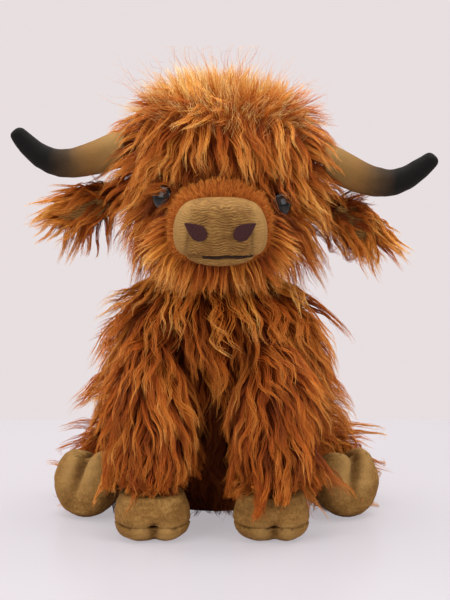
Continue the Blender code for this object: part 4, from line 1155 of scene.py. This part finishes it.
def makeFrontLeg(side):
    node = "front_leg_" + side
    bottom = boxOf(node)[0][2]
    middle = boxOf("front_hoof_" + side)[2]
    look, tone = frontLook, frontLook["shades"]

    def combing(roots, normals):
        z = roots[:, 2]
        outward = unit((roots - middle) * np.array([1, 1, 0]))
        high = step(*look["high"], z)
        foot = step(*look["foot"], z)
        toe = step(*look["toe"], -outward[:, 1])
        strength = look["wander"]["all"] + look["wander"]["high"] * high
        comb = wander(roots, *look["noise"]) * strength[:, None] + normals * look["rise"]
        comb = comb + np.array([0, 0, -1]) - np.array([0, look["forwards"], 0]) * high[:, None]
        comb = comb + outward * (foot * (look["outFoot"] - look["outToe"] * toe))[:, None]
        room = np.clip(z - look["hoofTop"], *look["room"])
        length = (look["length"] + look["footLonger"] * foot) * mm * (1 - foot * toe)
        shade = tone["all"] + tone["foot"] * foot * (1 - toe)
        shade = shade - tone["behind"] * step(*look["behind"], normals[:, 1])
        shade = shade + tone["high"] * high
        return combed(comb, look["lift"], length + room * foot * toe, look["sink"], shade)

    skin = softCopy("frontLegSkin_" + side, [node], underPaint, hull=True, **look["skin"])
    points, normals = meshArrays(skin.data)
    bare, full = look["hem"]
    coat = step(bottom + bare, bottom + full, points[:, 2])
    coat = coat * (1 - look["backLess"] * step(*look["backEdge"], normals[:, 1]))
    coat = coat * (1 - look["topLess"] * step(*look["topEdge"], normals[:, 2]))
    growCoat("frontLegFur_" + side + "_", skin, node, [node], coat, combing,
             sideLook(look, side), 1)
    coverPiece(skin, node, [node, "front_leg_stuffing_" + side])


# Rear legs: locks that run forwards and out to the hooves
rearLook = {
    "seed": 161, "bigSpacing": 9 * mm, "spacing": 4.8 * mm, "wave": 28 * mm, "sway": 0.5,
    "hold": 0.6, "height": 1.5 * mm, "floor": 0.8 * mm, "density": 330000, "points": 7,
    "radius": 0.21 * mm, "clump": 0.9, "frizz": 4.5 * mm, "short": 0.66,
    "skin": {"voxel": 2.5 * mm, "smooth": 6, "inset": 6 * mm}, "noise": (40, 13),
    "forwards": 0.8, "rise": 0.35, "fall": -0.35, "wander": 0.6, "outer": (-0.2, 0.6),
    "out": 0.60, "lift": 0.36, "sink": 0.40, "shade": 0.36, "outerShade": 0.22,
    "end": (-8 * mm, -13 * mm),
    # these two are in mm
    "length": 32, "outerLonger": 8}


def hipWay(side, middle):
    # the level way from the hip to the hoof
    hip = np.array(joints["hip_splay_" + side]["pos_m"])
    return unit((middle - hip) * np.array([1, 1, 0]))


def makeRearLeg(side):
    node, look = "rear_leg_" + side, rearLook
    middle = boxOf("rear_hoof_" + side)[2]
    forward = hipWay(side, middle)

    def combing(roots, normals):
        comb = forward * look["forwards"] + normals * look["rise"] + np.array([0, 0, look["fall"]])
        comb = comb + wander(roots, *look["noise"]) * look["wander"]
        outer = step(*look["outer"], np.sign(middle[0]) * normals[:, 0])
        comb[:, 0] += np.sign(middle[0]) * look["out"] * outer
        length = (look["length"] + look["outerLonger"] * outer) * mm
        return combed(comb, look["lift"], length, look["sink"],
                      look["shade"] + look["outerShade"] * outer)

    skin = softCopy("rearLegSkin_" + side, [node], underPaint, hull=True, **look["skin"])
    points, _ = meshArrays(skin.data)
    coat = step(*look["end"], (points - middle) @ forward)
    growCoat("rearLegFur_" + side + "_", skin, node, [node], coat, combing,
             sideLook(look, side), 1)
    coverPiece(skin, node, [node, "rear_leg_stuffing_" + side])


for side in sides:
    makeFrontLeg(side)
    makeRearLeg(side)
print("legs are covered")

# Ears: a leaf with a long fringe and a bare lining that faces forwards
earLook = {
    "seed": 283, "bigSpacing": 8 * mm, "spacing": 4 * mm, "wave": 26 * mm, "sway": 0.60,
    "hold": 0.60, "height": 0, "floor": 1 * mm, "density": 620000, "points": 7,
    "radius": 0.19 * mm, "clump": 0.91, "frizz": 3 * mm, "short": 0.50,
    "bare": {"left": 0.1, "right": 0.8}, "patchEdge": (0.8, 1.3), "faceEdge": (0.1, 0.5),
    # out from the root, half length and half height of the bare patch
    "skinPatch": (29 * mm, 8 * mm, 5.5 * mm), "liningPatch": (31 * mm, 9 * mm, 6 * mm),
    "root": (4 * mm, 11 * mm), "edgeReach": 9 * mm, "tip": (10 * mm, 45 * mm),
    "out": {"all": 0.85, "tip": 0.15}, "up": {"all": 1.10, "tip": 0.5},
    "skin": {"voxel": 1.3 * mm, "smooth": 4, "inset": 1.2 * mm},
    "lining": {"voxel": 0.9 * mm, "smooth": 3}, "noise": (50, 17),
    "aim": (0, -0.1, 0.12), "wander": 0.60, "upper": (0, 8 * mm), "hang": 0.9,
    "lengths": {"all": 27 * mm, "tip": 2 * mm, "under": 7 * mm, "least": 0.70, "more": 0.30,
                "full": (6 * mm, 20 * mm)},
    "lift": 0.42, "sink": 0.22, "underEdge": (0, -0.6),
    "shades": {"all": 0.24, "tip": 0.58, "under": 0.30}}


def makeEar(side):
    node, look, long, tone = "ear_" + side, earLook, earLook["lengths"], earLook["shades"]
    joint = joints["ear_flap_" + side]
    root = np.array(joint["pos_m"])
    liningMiddle = boxOf("ear_lining_" + side)[2]
    outward = unit(liningMiddle - root)
    up = np.array(joint["axis"]) * (1 if joint["axis"][2] > 0 else -1)
    facing = np.cross(up, outward)
    facing = unit(facing if facing[1] < 0 else -facing)

    def combing(roots, normals):
        beyond = (roots - liningMiddle) @ up
        edge = np.clip(beyond / look["edgeReach"], -1, 1)
        out = (roots - root) @ outward
        tip = step(*look["tip"], out)
        comb = outward * (look["out"]["all"] + look["out"]["tip"] * tip)[:, None]
        comb = comb + up * (edge * (look["up"]["all"] - look["up"]["tip"] * tip))[:, None]
        comb = comb + np.array(look["aim"]) + wander(roots, *look["noise"]) * look["wander"]
        # locks at the upper edge hang over the lining
        over = step(*look["upper"], beyond)
        comb = comb + over[:, None] * (facing * look["hang"] - up * look["hang"])
        length = long["all"] - long["tip"] * tip + long["under"] * (1 - tip) * (edge < 0)
        length = length * (long["least"] + long["more"] * step(*long["full"], out))
        shade = tone["all"] + tone["tip"] * tip
        shade = shade + tone["under"] * step(*look["underEdge"], edge) * (1 - tip)
        return combed(comb, look["lift"], length, look["sink"], shade)

    def bareShare(points, patch):
        # the patch that stays bare, and the coat that fades in from the root
        out, high = (points - root) @ outward, (points - liningMiddle) @ up
        place, halfLength, halfHeight = look[patch]
        reach = np.hypot((out - place) / halfLength, high / halfHeight)
        return 1 - step(*look["patchEdge"], reach), step(*look["root"], out)

    skin = softCopy("earSkin_" + side, [node], underPaint, **look["skin"])
    points, normals = meshArrays(skin.data)
    inPatch, fromRoot = bareShare(points, "skinPatch")
    onFace = step(*look["faceEdge"], normals @ facing)
    coat = (1 - onFace * inPatch * look["bare"][side]) * fromRoot
    growCoat("earFur_" + side + "_", skin, node, [node], coat, combing, sideLook(look, side), 1)
    coverPiece(skin, node, [node])
    lining = softCopy("earLining_" + side, ["ear_lining_" + side], velboaPaint, **look["lining"])
    inPatch, fromRoot = bareShare(meshArrays(lining.data)[0], "liningPatch")
    coat = (1 - inPatch * look["bare"][side]) * fromRoot
    growCoat("earFringe_" + side + "_", lining, node, [node], coat, combing,
             sideLook(look, side, 7), 1)
    coverPiece(lining, node, ["ear_lining_" + side])


for side in sides:
    makeEar(side)
print("ears are covered")

# Tail with its tuft
tailLook = {
    "seed": 397, "bigSpacing": 7 * mm, "spacing": 3.6 * mm, "wave": 26 * mm, "sway": 0.35,
    "hold": 0.5, "height": 1 * mm, "floor": 1 * mm, "density": 380000, "points": 6,
    "radius": 0.24 * mm, "clump": 0.9, "frizz": 3 * mm, "short": 0.7,
    "skin": {"voxel": 1.5 * mm, "smooth": 4, "inset": 1 * mm}, "noise": (60, 27),
    "aim": (0.0, 0.12, -1.0), "rise": 0.2, "wander": 0.3, "toFloor": 4 * mm,
    "lengths": (10 * mm, 26 * mm), "lift": 0.18, "sink": 0.4, "shade": 0.42}


def tailComb(roots, normals):
    look = tailLook
    comb = np.array(look["aim"]) + normals * look["rise"]
    comb = comb + wander(roots, *look["noise"]) * look["wander"]
    length = np.clip(roots[:, 2] + look["toFloor"], *look["lengths"])
    return combed(comb, look["lift"], length, look["sink"], look["shade"])


tailSkin = softCopy("tailSkin", ["tail", "tail_tuft"], underPaint, **tailLook["skin"])
growCoat("tailFur", tailSkin, "tail", ["tail", "tail_tuft"], np.ones(len(tailSkin.data.vertices)),
         tailComb, tailLook, 1)
coverPiece(tailSkin, "tail", ["tail", "tail_tuft"])

# Short pile on the face panel, and longer hair on its cheeks; both lengths are in mm
panelLook = {
    "seed": 131, "bigSpacing": 6 * mm, "spacing": 2.6 * mm, "wave": 12 * mm, "sway": 0.2,
    "hold": 0.3, "height": 0.6 * mm, "floor": 1 * mm, "density": 1180000, "points": 4,
    "radius": 0.13 * mm, "clump": 0.35, "frizz": 1.5 * mm, "short": 0.6,
    "skin": {"voxel": 1.6 * mm, "smooth": 5, "inset": 1.8 * mm}, "noise": (60, 19),
    "away": 0.8, "aim": (0, 0.2, 0.3), "wander": 0.5, "high": (206 * mm, 214 * mm),
    "lift": 0.35, "highLift": 0.2, "length": 3.0, "highLonger": 1.4, "shade": 0.80,
    "ring": (0.93, 1.0), "forward": (-54 * mm, -60 * mm)}
cheekLook = {
    "seed": 171, "bigSpacing": 7 * mm, "spacing": 3.4 * mm, "wave": 24 * mm, "sway": 0.5,
    "hold": 0.5, "height": 1 * mm, "floor": 1 * mm, "density": 750000, "points": 6,
    "radius": 0.18 * mm, "clump": 0.8, "frizz": 5 * mm, "short": 0.6,
    "noise": (42, 3), "wander": 0.6, "low": (206 * mm, 185 * mm), "lift": 0.28, "length": 13,
    "lowLonger": 12,
    "sink": 0.3, "shade": 0.76, "beard": (180 * mm, 170 * mm), "beardShade": 0.26,
    "paintedSocketShade": 0.60, "ring": (1.04, 1.14), "top": (206 * mm, 200 * mm)}


def panelComb(roots, normals):
    look = panelLook
    away = (roots - faceMiddle) * np.array([1, 0, 1])
    comb = unit(away) * look["away"] + np.array(look["aim"])
    comb = comb + wander(roots, *look["noise"]) * look["wander"]
    high = step(*look["high"], roots[:, 2])
    return combed(comb, look["lift"] + look["highLift"] * high,
                  (look["length"] + look["highLonger"] * high) * mm, 0, look["shade"])


def cheekComb(roots, normals):
    look = cheekLook
    comb = faceFan(roots) + wander(roots, *look["noise"]) * look["wander"]
    low = step(*look["low"], roots[:, 2])
    # the hair near the eyes is darkened with painted shade of their sockets
    shade = look["shade"] - look["beardShade"] * step(*look["beard"], roots[:, 2])
    return combed(comb, look["lift"], (look["length"] + look["lowLonger"] * low) * mm,
                  look["sink"], shade - look["paintedSocketShade"] * nearEye(roots))


panelSkin = softCopy("panelSkin", ["face_panel"], panelPaint, hull=True, **panelLook["skin"])
points, _ = meshArrays(panelSkin.data)
muzzleHalf = (muzzleBox[1] - muzzleBox[0]) / 2
aside, _, tall = (np.abs(points - muzzleBox[2]) / muzzleHalf).T
ring = squareReach(aside, tall)
coat = step(*panelLook["ring"], ring) * step(*panelLook["forward"], points[:, 1])
growCoat("panelFur", panelSkin, "head", ["face_panel"], coat, panelComb, panelLook, 1,
         shortPilePaint)
coat = step(*cheekLook["ring"], ring) * step(*cheekLook["top"], points[:, 2])
growCoat("cheekFur", panelSkin, "head", ["face_panel"], coat, cheekComb, cheekLook, 1)
coverPiece(panelSkin, "head", ["face_panel"])
print("face panel is covered")

# Muzzle, chin, nostrils, mouth
muzzleShape = {
    "skin": {"voxel": 1.0 * mm, "smooth": 3}, "chinSkin": {"voxel": 1.1 * mm, "smooth": 3},
    "front": (13 * mm, 4 * mm), "taper": 0.07, "taperFrom": 0.2,
    "puckerNoise": (260, 7), "stitchNoise": (600, 45),
    "dartDepth": 0.8 * mm, "dartWidth": 1.2 * mm, "dartX": 19.0 * mm,
    # the darts and the mouth crease are darkened with painted shade, and the sides and top edge of
    # the muzzle made paler with painted light
    "dartTop": (0.25, -0.10), "dartEnd": (-0.98, -0.85), "dartShade": 0.40, "stitchLeast": 0.6,
    "pucker": 0.5 * mm, "puckerEdge": (0.2, -0.7), "creaseDepth": 0.8 * mm,
    "creaseWidth": 0.9 * mm, "creaseShade": 0.9, "creaseEnd": (0.08, 0.16),
    "creaseFarEnd": (0.92, 0.84), "paintedLitSide": 0.40, "paintedLitSideEdge": (0.85, 1.15),
    "paintedLitTop": 0.22, "paintedLitTopEdge": (0.62, 0.95), "chinPaler": 0.15, "chinCreaseShade": 0.5}
# the mouth's uneven and swing are in mm
mouthShape = {"skin": {"voxel": 0.3 * mm, "smooth": 2}, "swell": 0.35 * mm, "uneven": 0.5,
              "unevenNoise": (330, 51), "swing": 1.3, "swingNoise": (90, 47)}
nostrilShape = {"voxel": 0.45 * mm, "smooth": 2}


def makeMuzzle():
    look = muzzleShape
    item = softCopy("muzzleSkin", ["muzzle"], velboaPaint, hull=True, **look["skin"])
    points, normals = meshArrays(item.data)
    p = toHead(points)
    x = p[:, 0] - muzzleMiddle[0]
    z = (p[:, 2] - muzzleMiddle[2]) / (muzzleHigh[2] - muzzleMiddle[2])
    start, full = look["front"]
    front = step(muzzleLow[1] + start, muzzleLow[1] + full, p[:, 1])
    taper = 1 + look["taper"] * (look["taperFrom"] - z)
    depth = np.zeros(len(p))
    for sign in (-1, 1):
        near = bell(x - sign * look["dartX"] * taper, look["dartWidth"])
        depth += near * step(*look["dartTop"], z) * step(*look["dartEnd"], z) * front
    crease = mouthCrease(points) * front
    puckers = wander(points, *look["puckerNoise"])[:, 0] * look["pucker"]
    puckers = puckers * step(*look["puckerEdge"], z) * front
    slide = puckers - depth * look["dartDepth"] - crease * look["creaseDepth"]
    slideOut(item.data, points, normals, slide)
    # painted light: paler on the sides of the muzzle and on its top edge, where light falls
    worn = step(*look["paintedLitSideEdge"], np.abs(x) / (look["dartX"] * taper)) * look["paintedLitSide"]
    worn = worn + step(*look["paintedLitTopEdge"], z) * look["paintedLitTop"]
    setAttribute(item.data, "worn", np.clip(worn, 0, 1))
    # painted shade along the darts, stronger at the stitches, and painted shadow in the mouth
    # crease
    stitches = 0.5 + 0.5 * wander(points, *look["stitchNoise"])[:, 0]
    pits = depth * look["dartShade"] * (look["stitchLeast"] + stitches)
    setAttribute(item.data, "pits", np.clip(pits + crease * look["creaseShade"], 0, 1))
    coverPiece(item, "head", ["muzzle"])
    chin = softCopy("chinSkin", ["chin"], velboaPaint, hull=True, **look["chinSkin"])
    points, _ = meshArrays(chin.data)
    # the chin is evenly paler, and the mouth crease is darkened with painted shadow
    setAttribute(chin.data, "worn", np.full(len(points), look["chinPaler"]))
    setAttribute(chin.data, "pits", np.clip(mouthCrease(points) * look["chinCreaseShade"], 0, 1))
    coverPiece(chin, "head", ["chin"])


def mouthSway(points):
    swing = wander(points * np.array([1, 0, 0]), *mouthShape["swingNoise"])[:, 0]
    return swing * mouthShape["swing"] * mm


def mouthCrease(points):
    # a thin fold that runs on from the thread to both corners of the mouth
    share = (points[:, 0] - muzzleBox[0][0]) / (muzzleBox[1][0] - muzzleBox[0][0])
    inside = step(*muzzleShape["creaseEnd"], share) * step(*muzzleShape["creaseFarEnd"], share)
    line = boxOf("mouth_stitch")[2][2] + mouthSway(points)
    return bell(points[:, 2] - line, muzzleShape["creaseWidth"]) * inside


def makeNostril(side):
    item = softCopy("nostrilPatch_" + side, ["nostril_" + side], feltPaint, **nostrilShape)
    dress(item, "head", ["nostril_" + side])


def makeMouth():
    item = softCopy("mouthThread", ["mouth_stitch"], threadPaint, **mouthShape["skin"])
    points, normals = meshArrays(item.data)
    uneven = wander(points, *mouthShape["unevenNoise"])[:, 0] * mouthShape["uneven"] * mm
    # the thread is swelled wider than the stitch, so its dark line is partly thread and partly
    # painted shadow of the slit of the mouth
    swell = mouthShape["swell"] + uneven
    points = points + normals * swell[:, None]
    points[:, 2] += mouthSway(points)
    setPoints(item.data, points)
    dress(item, "head", ["mouth_stitch"])


makeMuzzle()
makeMouth()


# Eyes
def makeEye(side):
    # a turned dome on its rim, centred where the CAD eye is
    points, _ = meshArrays(frame["nodes"]["eye_" + side].data)
    aim = np.array(headFrame.to_3x3() @ eyeAim(side))
    tip = points[(points @ aim).argmax()]
    rim = np.linalg.norm((points - tip) - ((points - tip) @ aim)[:, None] * aim, axis=1).max()
    rings, around, height = eyeShape["rings"], eyeShape["around"], eyeShape["height"]
    base = Vector(tip) - Vector(aim) * height
    turn = Vector(aim).to_track_quat("Z", "Y").to_matrix().to_4x4()
    bm = bmesh.new()
    top = bm.verts.new((0, 0, height))
    loops = []
    for i in range(1, rings + 1):
        angle = math.pi / 2 * i / rings
        level = Matrix.Translation((0, 0, height * math.cos(angle)))
        made = bmesh.ops.create_circle(bm, radius=rim * math.sin(angle), segments=around,
                                       matrix=level)
        loops.append(made["verts"])
    for i, vert in enumerate(loops[0]):
        bm.faces.new((top, vert, loops[0][(i + 1) % around]))
    under = bmesh.ops.create_circle(bm, radius=rim, segments=around, cap_ends=True,
                                    matrix=Matrix.Translation((0, 0, -eyeShape["skirt"])))
    loops.append(under["verts"])
    for first, second in zip(loops, loops[1:]):
        for i in range(around):
            j = (i + 1) % around
            bm.faces.new((first[i], second[i], second[j], first[j]))
    bmesh.ops.recalc_face_normals(bm, faces=bm.faces)
    mesh = bpy.data.meshes.new("eyeDome_" + side)
    bm.to_mesh(mesh)
    bm.free()
    local, _ = meshArrays(mesh)
    setAttribute(mesh, "out", np.hypot(local[:, 0], local[:, 1]) / rim)
    mesh.transform(Matrix.Translation(base) @ turn)
    mesh.shade_smooth()
    item = addObject("eyeDome_" + side, mesh, eyePaint)
    dress(item, "head", ["eye_" + side])


# Horns
# the dents are in mm
hornShape = {"skin": {"voxel": 1.4 * mm, "smooth": 4}, "dents": 0.35, "noise": (130, 21)}


def makeHorn(side):
    item = softCopy("hornCloth_" + side, ["horn_" + side], hornPaint, **hornShape["skin"])
    points, normals = meshArrays(item.data)
    out = np.abs(toHead(points)[:, 0])
    setAttribute(item.data, "along", (out - out.min()) / (out.max() - out.min()))
    dents = wander(points, *hornShape["noise"])[:, 0] * hornShape["dents"] * mm
    slideOut(item.data, points, normals, dents)
    coverPiece(item, "head", ["horn_" + side])


# Hooves: two toes with a cleft between them, on a sole
hoofShape = {
    "cleftDepth": 3.4 * mm, "cleftWidth": 2.6 * mm, "toeSwell": 1.3 * mm, "toeWidth": 6 * mm,
    "toeApart": 8 * mm, "offCentre": {"front": -1.8 * mm, "rear": 1.8 * mm},
    # front: where the cleft fades in height and round the toes, and the seam above the sole
    "cleftTop": (17 * mm, 7 * mm), "frontFacing": (-0.2, 0.5), "cleftLeast": 0.35,
    "cleftMore": 0.65, "cleftFoot": (1 * mm, 5 * mm), "seamAbove": 0.5 * mm,
    # rear: the cleft leans and is deeper, and fades below the middle
    "lean": 0.25, "deeper": 1.3, "below": 12 * mm, "above": 10 * mm, "rearFacing": (-0.3, 0.4),
    "upShare": 0.5,
    "skin": {"voxel": 1.25 * mm, "smooth": 2}, "dentNoise": (150, 31), "stitchNoise": (500, 33),
    # the dents are in mm
    # the cleft is darkened with painted shade, the seam with dark stitch marks, and the swell of
    # the toes made paler with a painted highlight
    "dents": 0.5, "dentEdge": (0, 3 * mm), "stitches": (0.1, 0.5), "pitHeight": 1.3 * mm,
    "cleftShade": 0.30, "stitchPits": 0.8, "worn": 0.35}


def makeHoof(end, side):
    look = hoofShape
    hoofLow, hoofHigh, _ = boxOf(f"{end}_hoof_{side}")
    soleLow, soleHigh, _ = boxOf(f"{end}_sole_{side}")
    middle = (np.minimum(hoofLow, soleLow) + np.maximum(hoofHigh, soleHigh)) / 2
    toes = np.array([0, -1.0, 0]) if end == "front" else hipWay(side, middle)
    across = np.cross(toes, (0, 0, 1))
    for part in ("hoof", "sole"):
        node = f"{end}_{part}_{side}"
        item = softCopy(f"{end}{part.title()}Cloth_{side}", [node], hoofPaint, **look["skin"])
        points, normals = meshArrays(item.data)
        place = points - middle
        sideways = place @ across - look["offCentre"][end]
        height = points[:, 2]
        if end == "front":
            strength = step(*look["cleftTop"], height) * step(*look["frontFacing"], normals @ toes)
            foot = look["cleftMore"] * step(*look["cleftFoot"], height)
            strength = strength * (look["cleftLeast"] + foot)
            seam = np.abs(height - soleHigh[2] + look["seamAbove"])
        else:
            sideways = sideways + place[:, 2] * look["lean"]
            fade = step(middle[2] - look["below"], middle[2] + look["above"], height)
            turned = normals @ toes + normals[:, 2] * look["upShare"]
            strength = look["deeper"] * fade * step(*look["rearFacing"], turned)
            seam = np.abs(place @ toes - (soleLow + soleHigh - 2 * middle) @ toes / 2)
        cleft = bell(sideways, look["cleftWidth"]) * strength
        lobe = bell(np.abs(sideways) - look["toeApart"], look["toeWidth"]) * strength
        dents = wander(points, *look["dentNoise"])[:, 0] * look["dents"] * mm
        dents = dents * step(*look["dentEdge"], height)
        slide = dents + lobe * look["toeSwell"] - cleft * look["cleftDepth"]
        moved = points + normals * slide[:, None]
        moved[:, 2] = np.maximum(moved[:, 2], 0)
        setPoints(item.data, moved)
        # painted shade in the cleft, dark stitch marks along the seam, and a painted highlight on
        # the swell of the toes
        stitches = step(*look["stitches"], wander(points, *look["stitchNoise"])[:, 0])
        pits = step(look["pitHeight"], 0, seam) * stitches * look["stitchPits"]
        setAttribute(item.data, "pits", np.clip(cleft * look["cleftShade"] + pits, 0, 1))
        setAttribute(item.data, "worn", np.clip(lobe * look["worn"], 0, 1))
        coverPiece(item, f"{end}_leg_{side}", [node])


for side in sides:
    makeNostril(side)
    makeEye(side)
    makeHorn(side)
    makeHoof("front", side)
    makeHoof("rear", side)
print("muzzle, eyes, horns and hooves are sewn on")

# Camera, stage and light
viewOf = {"pitch": 9.0, "distance": 1.35, "lens": 124.0, "sensor": 36,
          "target": (5.5 * mm, 0.0, 137 * mm)}


def setCamera():
    data = bpy.data.cameras.new("camera")
    data.lens = viewOf["lens"]
    data.sensor_width = viewOf["sensor"]
    item = bpy.data.objects.new("camera", data)
    bpy.context.scene.collection.objects.link(item)
    pitch = math.radians(viewOf["pitch"])
    back = Vector((0, -math.cos(pitch), math.sin(pitch)))
    item.location = Vector(viewOf["target"]) + back * viewOf["distance"]
    item.rotation_euler = back.to_track_quat("Z", "Y").to_euler()
    bpy.context.scene.camera = item


# The floor ends behind the toy, where the plain backdrop starts
stageLook = {"floor": (0.645, 0.600, 0.625), "backdrop": (0.805, 0.735, 0.745), "edgeY": 0.262,
             "width": 5.0, "depth": 4.0, "glow": 0.62, "ambient": (0.90, 0.92, 0.95),
             "ambientStrength": 0.45, "roughness": 0.25, "shine": 0.4}


def layFloor():
    bm = bmesh.new()
    bmesh.ops.create_grid(bm, x_segments=1, y_segments=1, size=0.5)
    bmesh.ops.scale(bm, vec=(stageLook["width"], stageLook["depth"], 1), verts=bm.verts)
    bmesh.ops.translate(bm, vec=(0, stageLook["edgeY"] - stageLook["depth"] / 2, 0), verts=bm.verts)
    mesh = bpy.data.meshes.new("floorTop")
    bm.to_mesh(mesh)
    bm.free()
    paint = Paint("floorTop")
    colour = (*stageLook["floor"], 1)
    surface = paint.node("ShaderNodeBsdfPrincipled", {}, {
        "Base Color": colour, "Roughness": stageLook["roughness"],
        "Specular IOR Level": stageLook["shine"]})
    glow = paint.node("ShaderNodeEmission", {}, {"Color": colour, "Strength": 1.0})
    seen = paint.node("ShaderNodeLightPath", output="Is Camera Ray")
    both = paint.node("ShaderNodeMixShader", {}, [seen * stageLook["glow"], surface, glow])
    paint.node("ShaderNodeOutputMaterial", {}, {"Surface": both})
    addObject("floorTop", mesh, paint.material)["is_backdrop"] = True


def lightWorld():
    # the lens and the gloss see the backdrop, the rest of the light is even
    world = bpy.data.worlds.new("studio")
    bpy.context.scene.world = world
    world.use_nodes = True
    board = Board(world.node_tree)
    board.tree.nodes.clear()
    rays = board.node("ShaderNodeLightPath", output="Is Camera Ray")
    shown = (rays + board.other(rays, "Is Glossy Ray") + board.other(rays, "Is Transmission Ray"))
    ambient = board.node("ShaderNodeBackground", {}, {
        "Color": (*stageLook["ambient"], 1), "Strength": stageLook["ambientStrength"]})
    backdrop = board.node("ShaderNodeBackground", {}, {
        "Color": (*stageLook["backdrop"], 1), "Strength": 1.0})
    mixed = board.node("ShaderNodeMixShader", {}, [shown.held(), ambient, backdrop])
    board.node("ShaderNodeOutputWorld", {}, {"Surface": mixed})


lampTarget = (0, 0, 0.14)
lamps = {
    "leftSoftbox": {"power": 10, "size": (0.75, 0.75), "place": (-0.80, -0.75, 0.62),
                    "colour": (0.95, 0.98, 1.0)},
    "rightSoftbox": {"power": 8, "size": (0.75, 0.75), "place": (0.95, -0.65, 0.55),
                     "colour": (0.95, 0.98, 1.0)},
    "topSoftbox": {"power": 7, "size": (0.8, 0.5), "place": (0.0, -0.05, 1.1),
                   "colour": (1, 1, 1)},
    "rearStrip": {"power": 5, "size": (1.2, 0.2), "place": (0.0, 0.15, 0.70),
                  "colour": (1, 1, 1)}}


def addLamp(name, look):
    data = bpy.data.lights.new(name, "AREA")
    data.energy = look["power"]
    data.shape = "RECTANGLE"
    data.size, data.size_y = look["size"]
    data.color = look["colour"]
    item = bpy.data.objects.new(name, data)
    item.location = look["place"]
    away = Vector(look["place"]) - Vector(lampTarget)
    item.rotation_euler = away.to_track_quat("Z", "Y").to_euler()
    bpy.context.scene.collection.objects.link(item)


setCamera()
layFloor()
lightWorld()
for name, look in lamps.items():
    addLamp(name, look)

bpy.context.scene.view_settings.view_transform = "Standard"

low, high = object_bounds()
print(f"hair triangles: {hairTotal}")
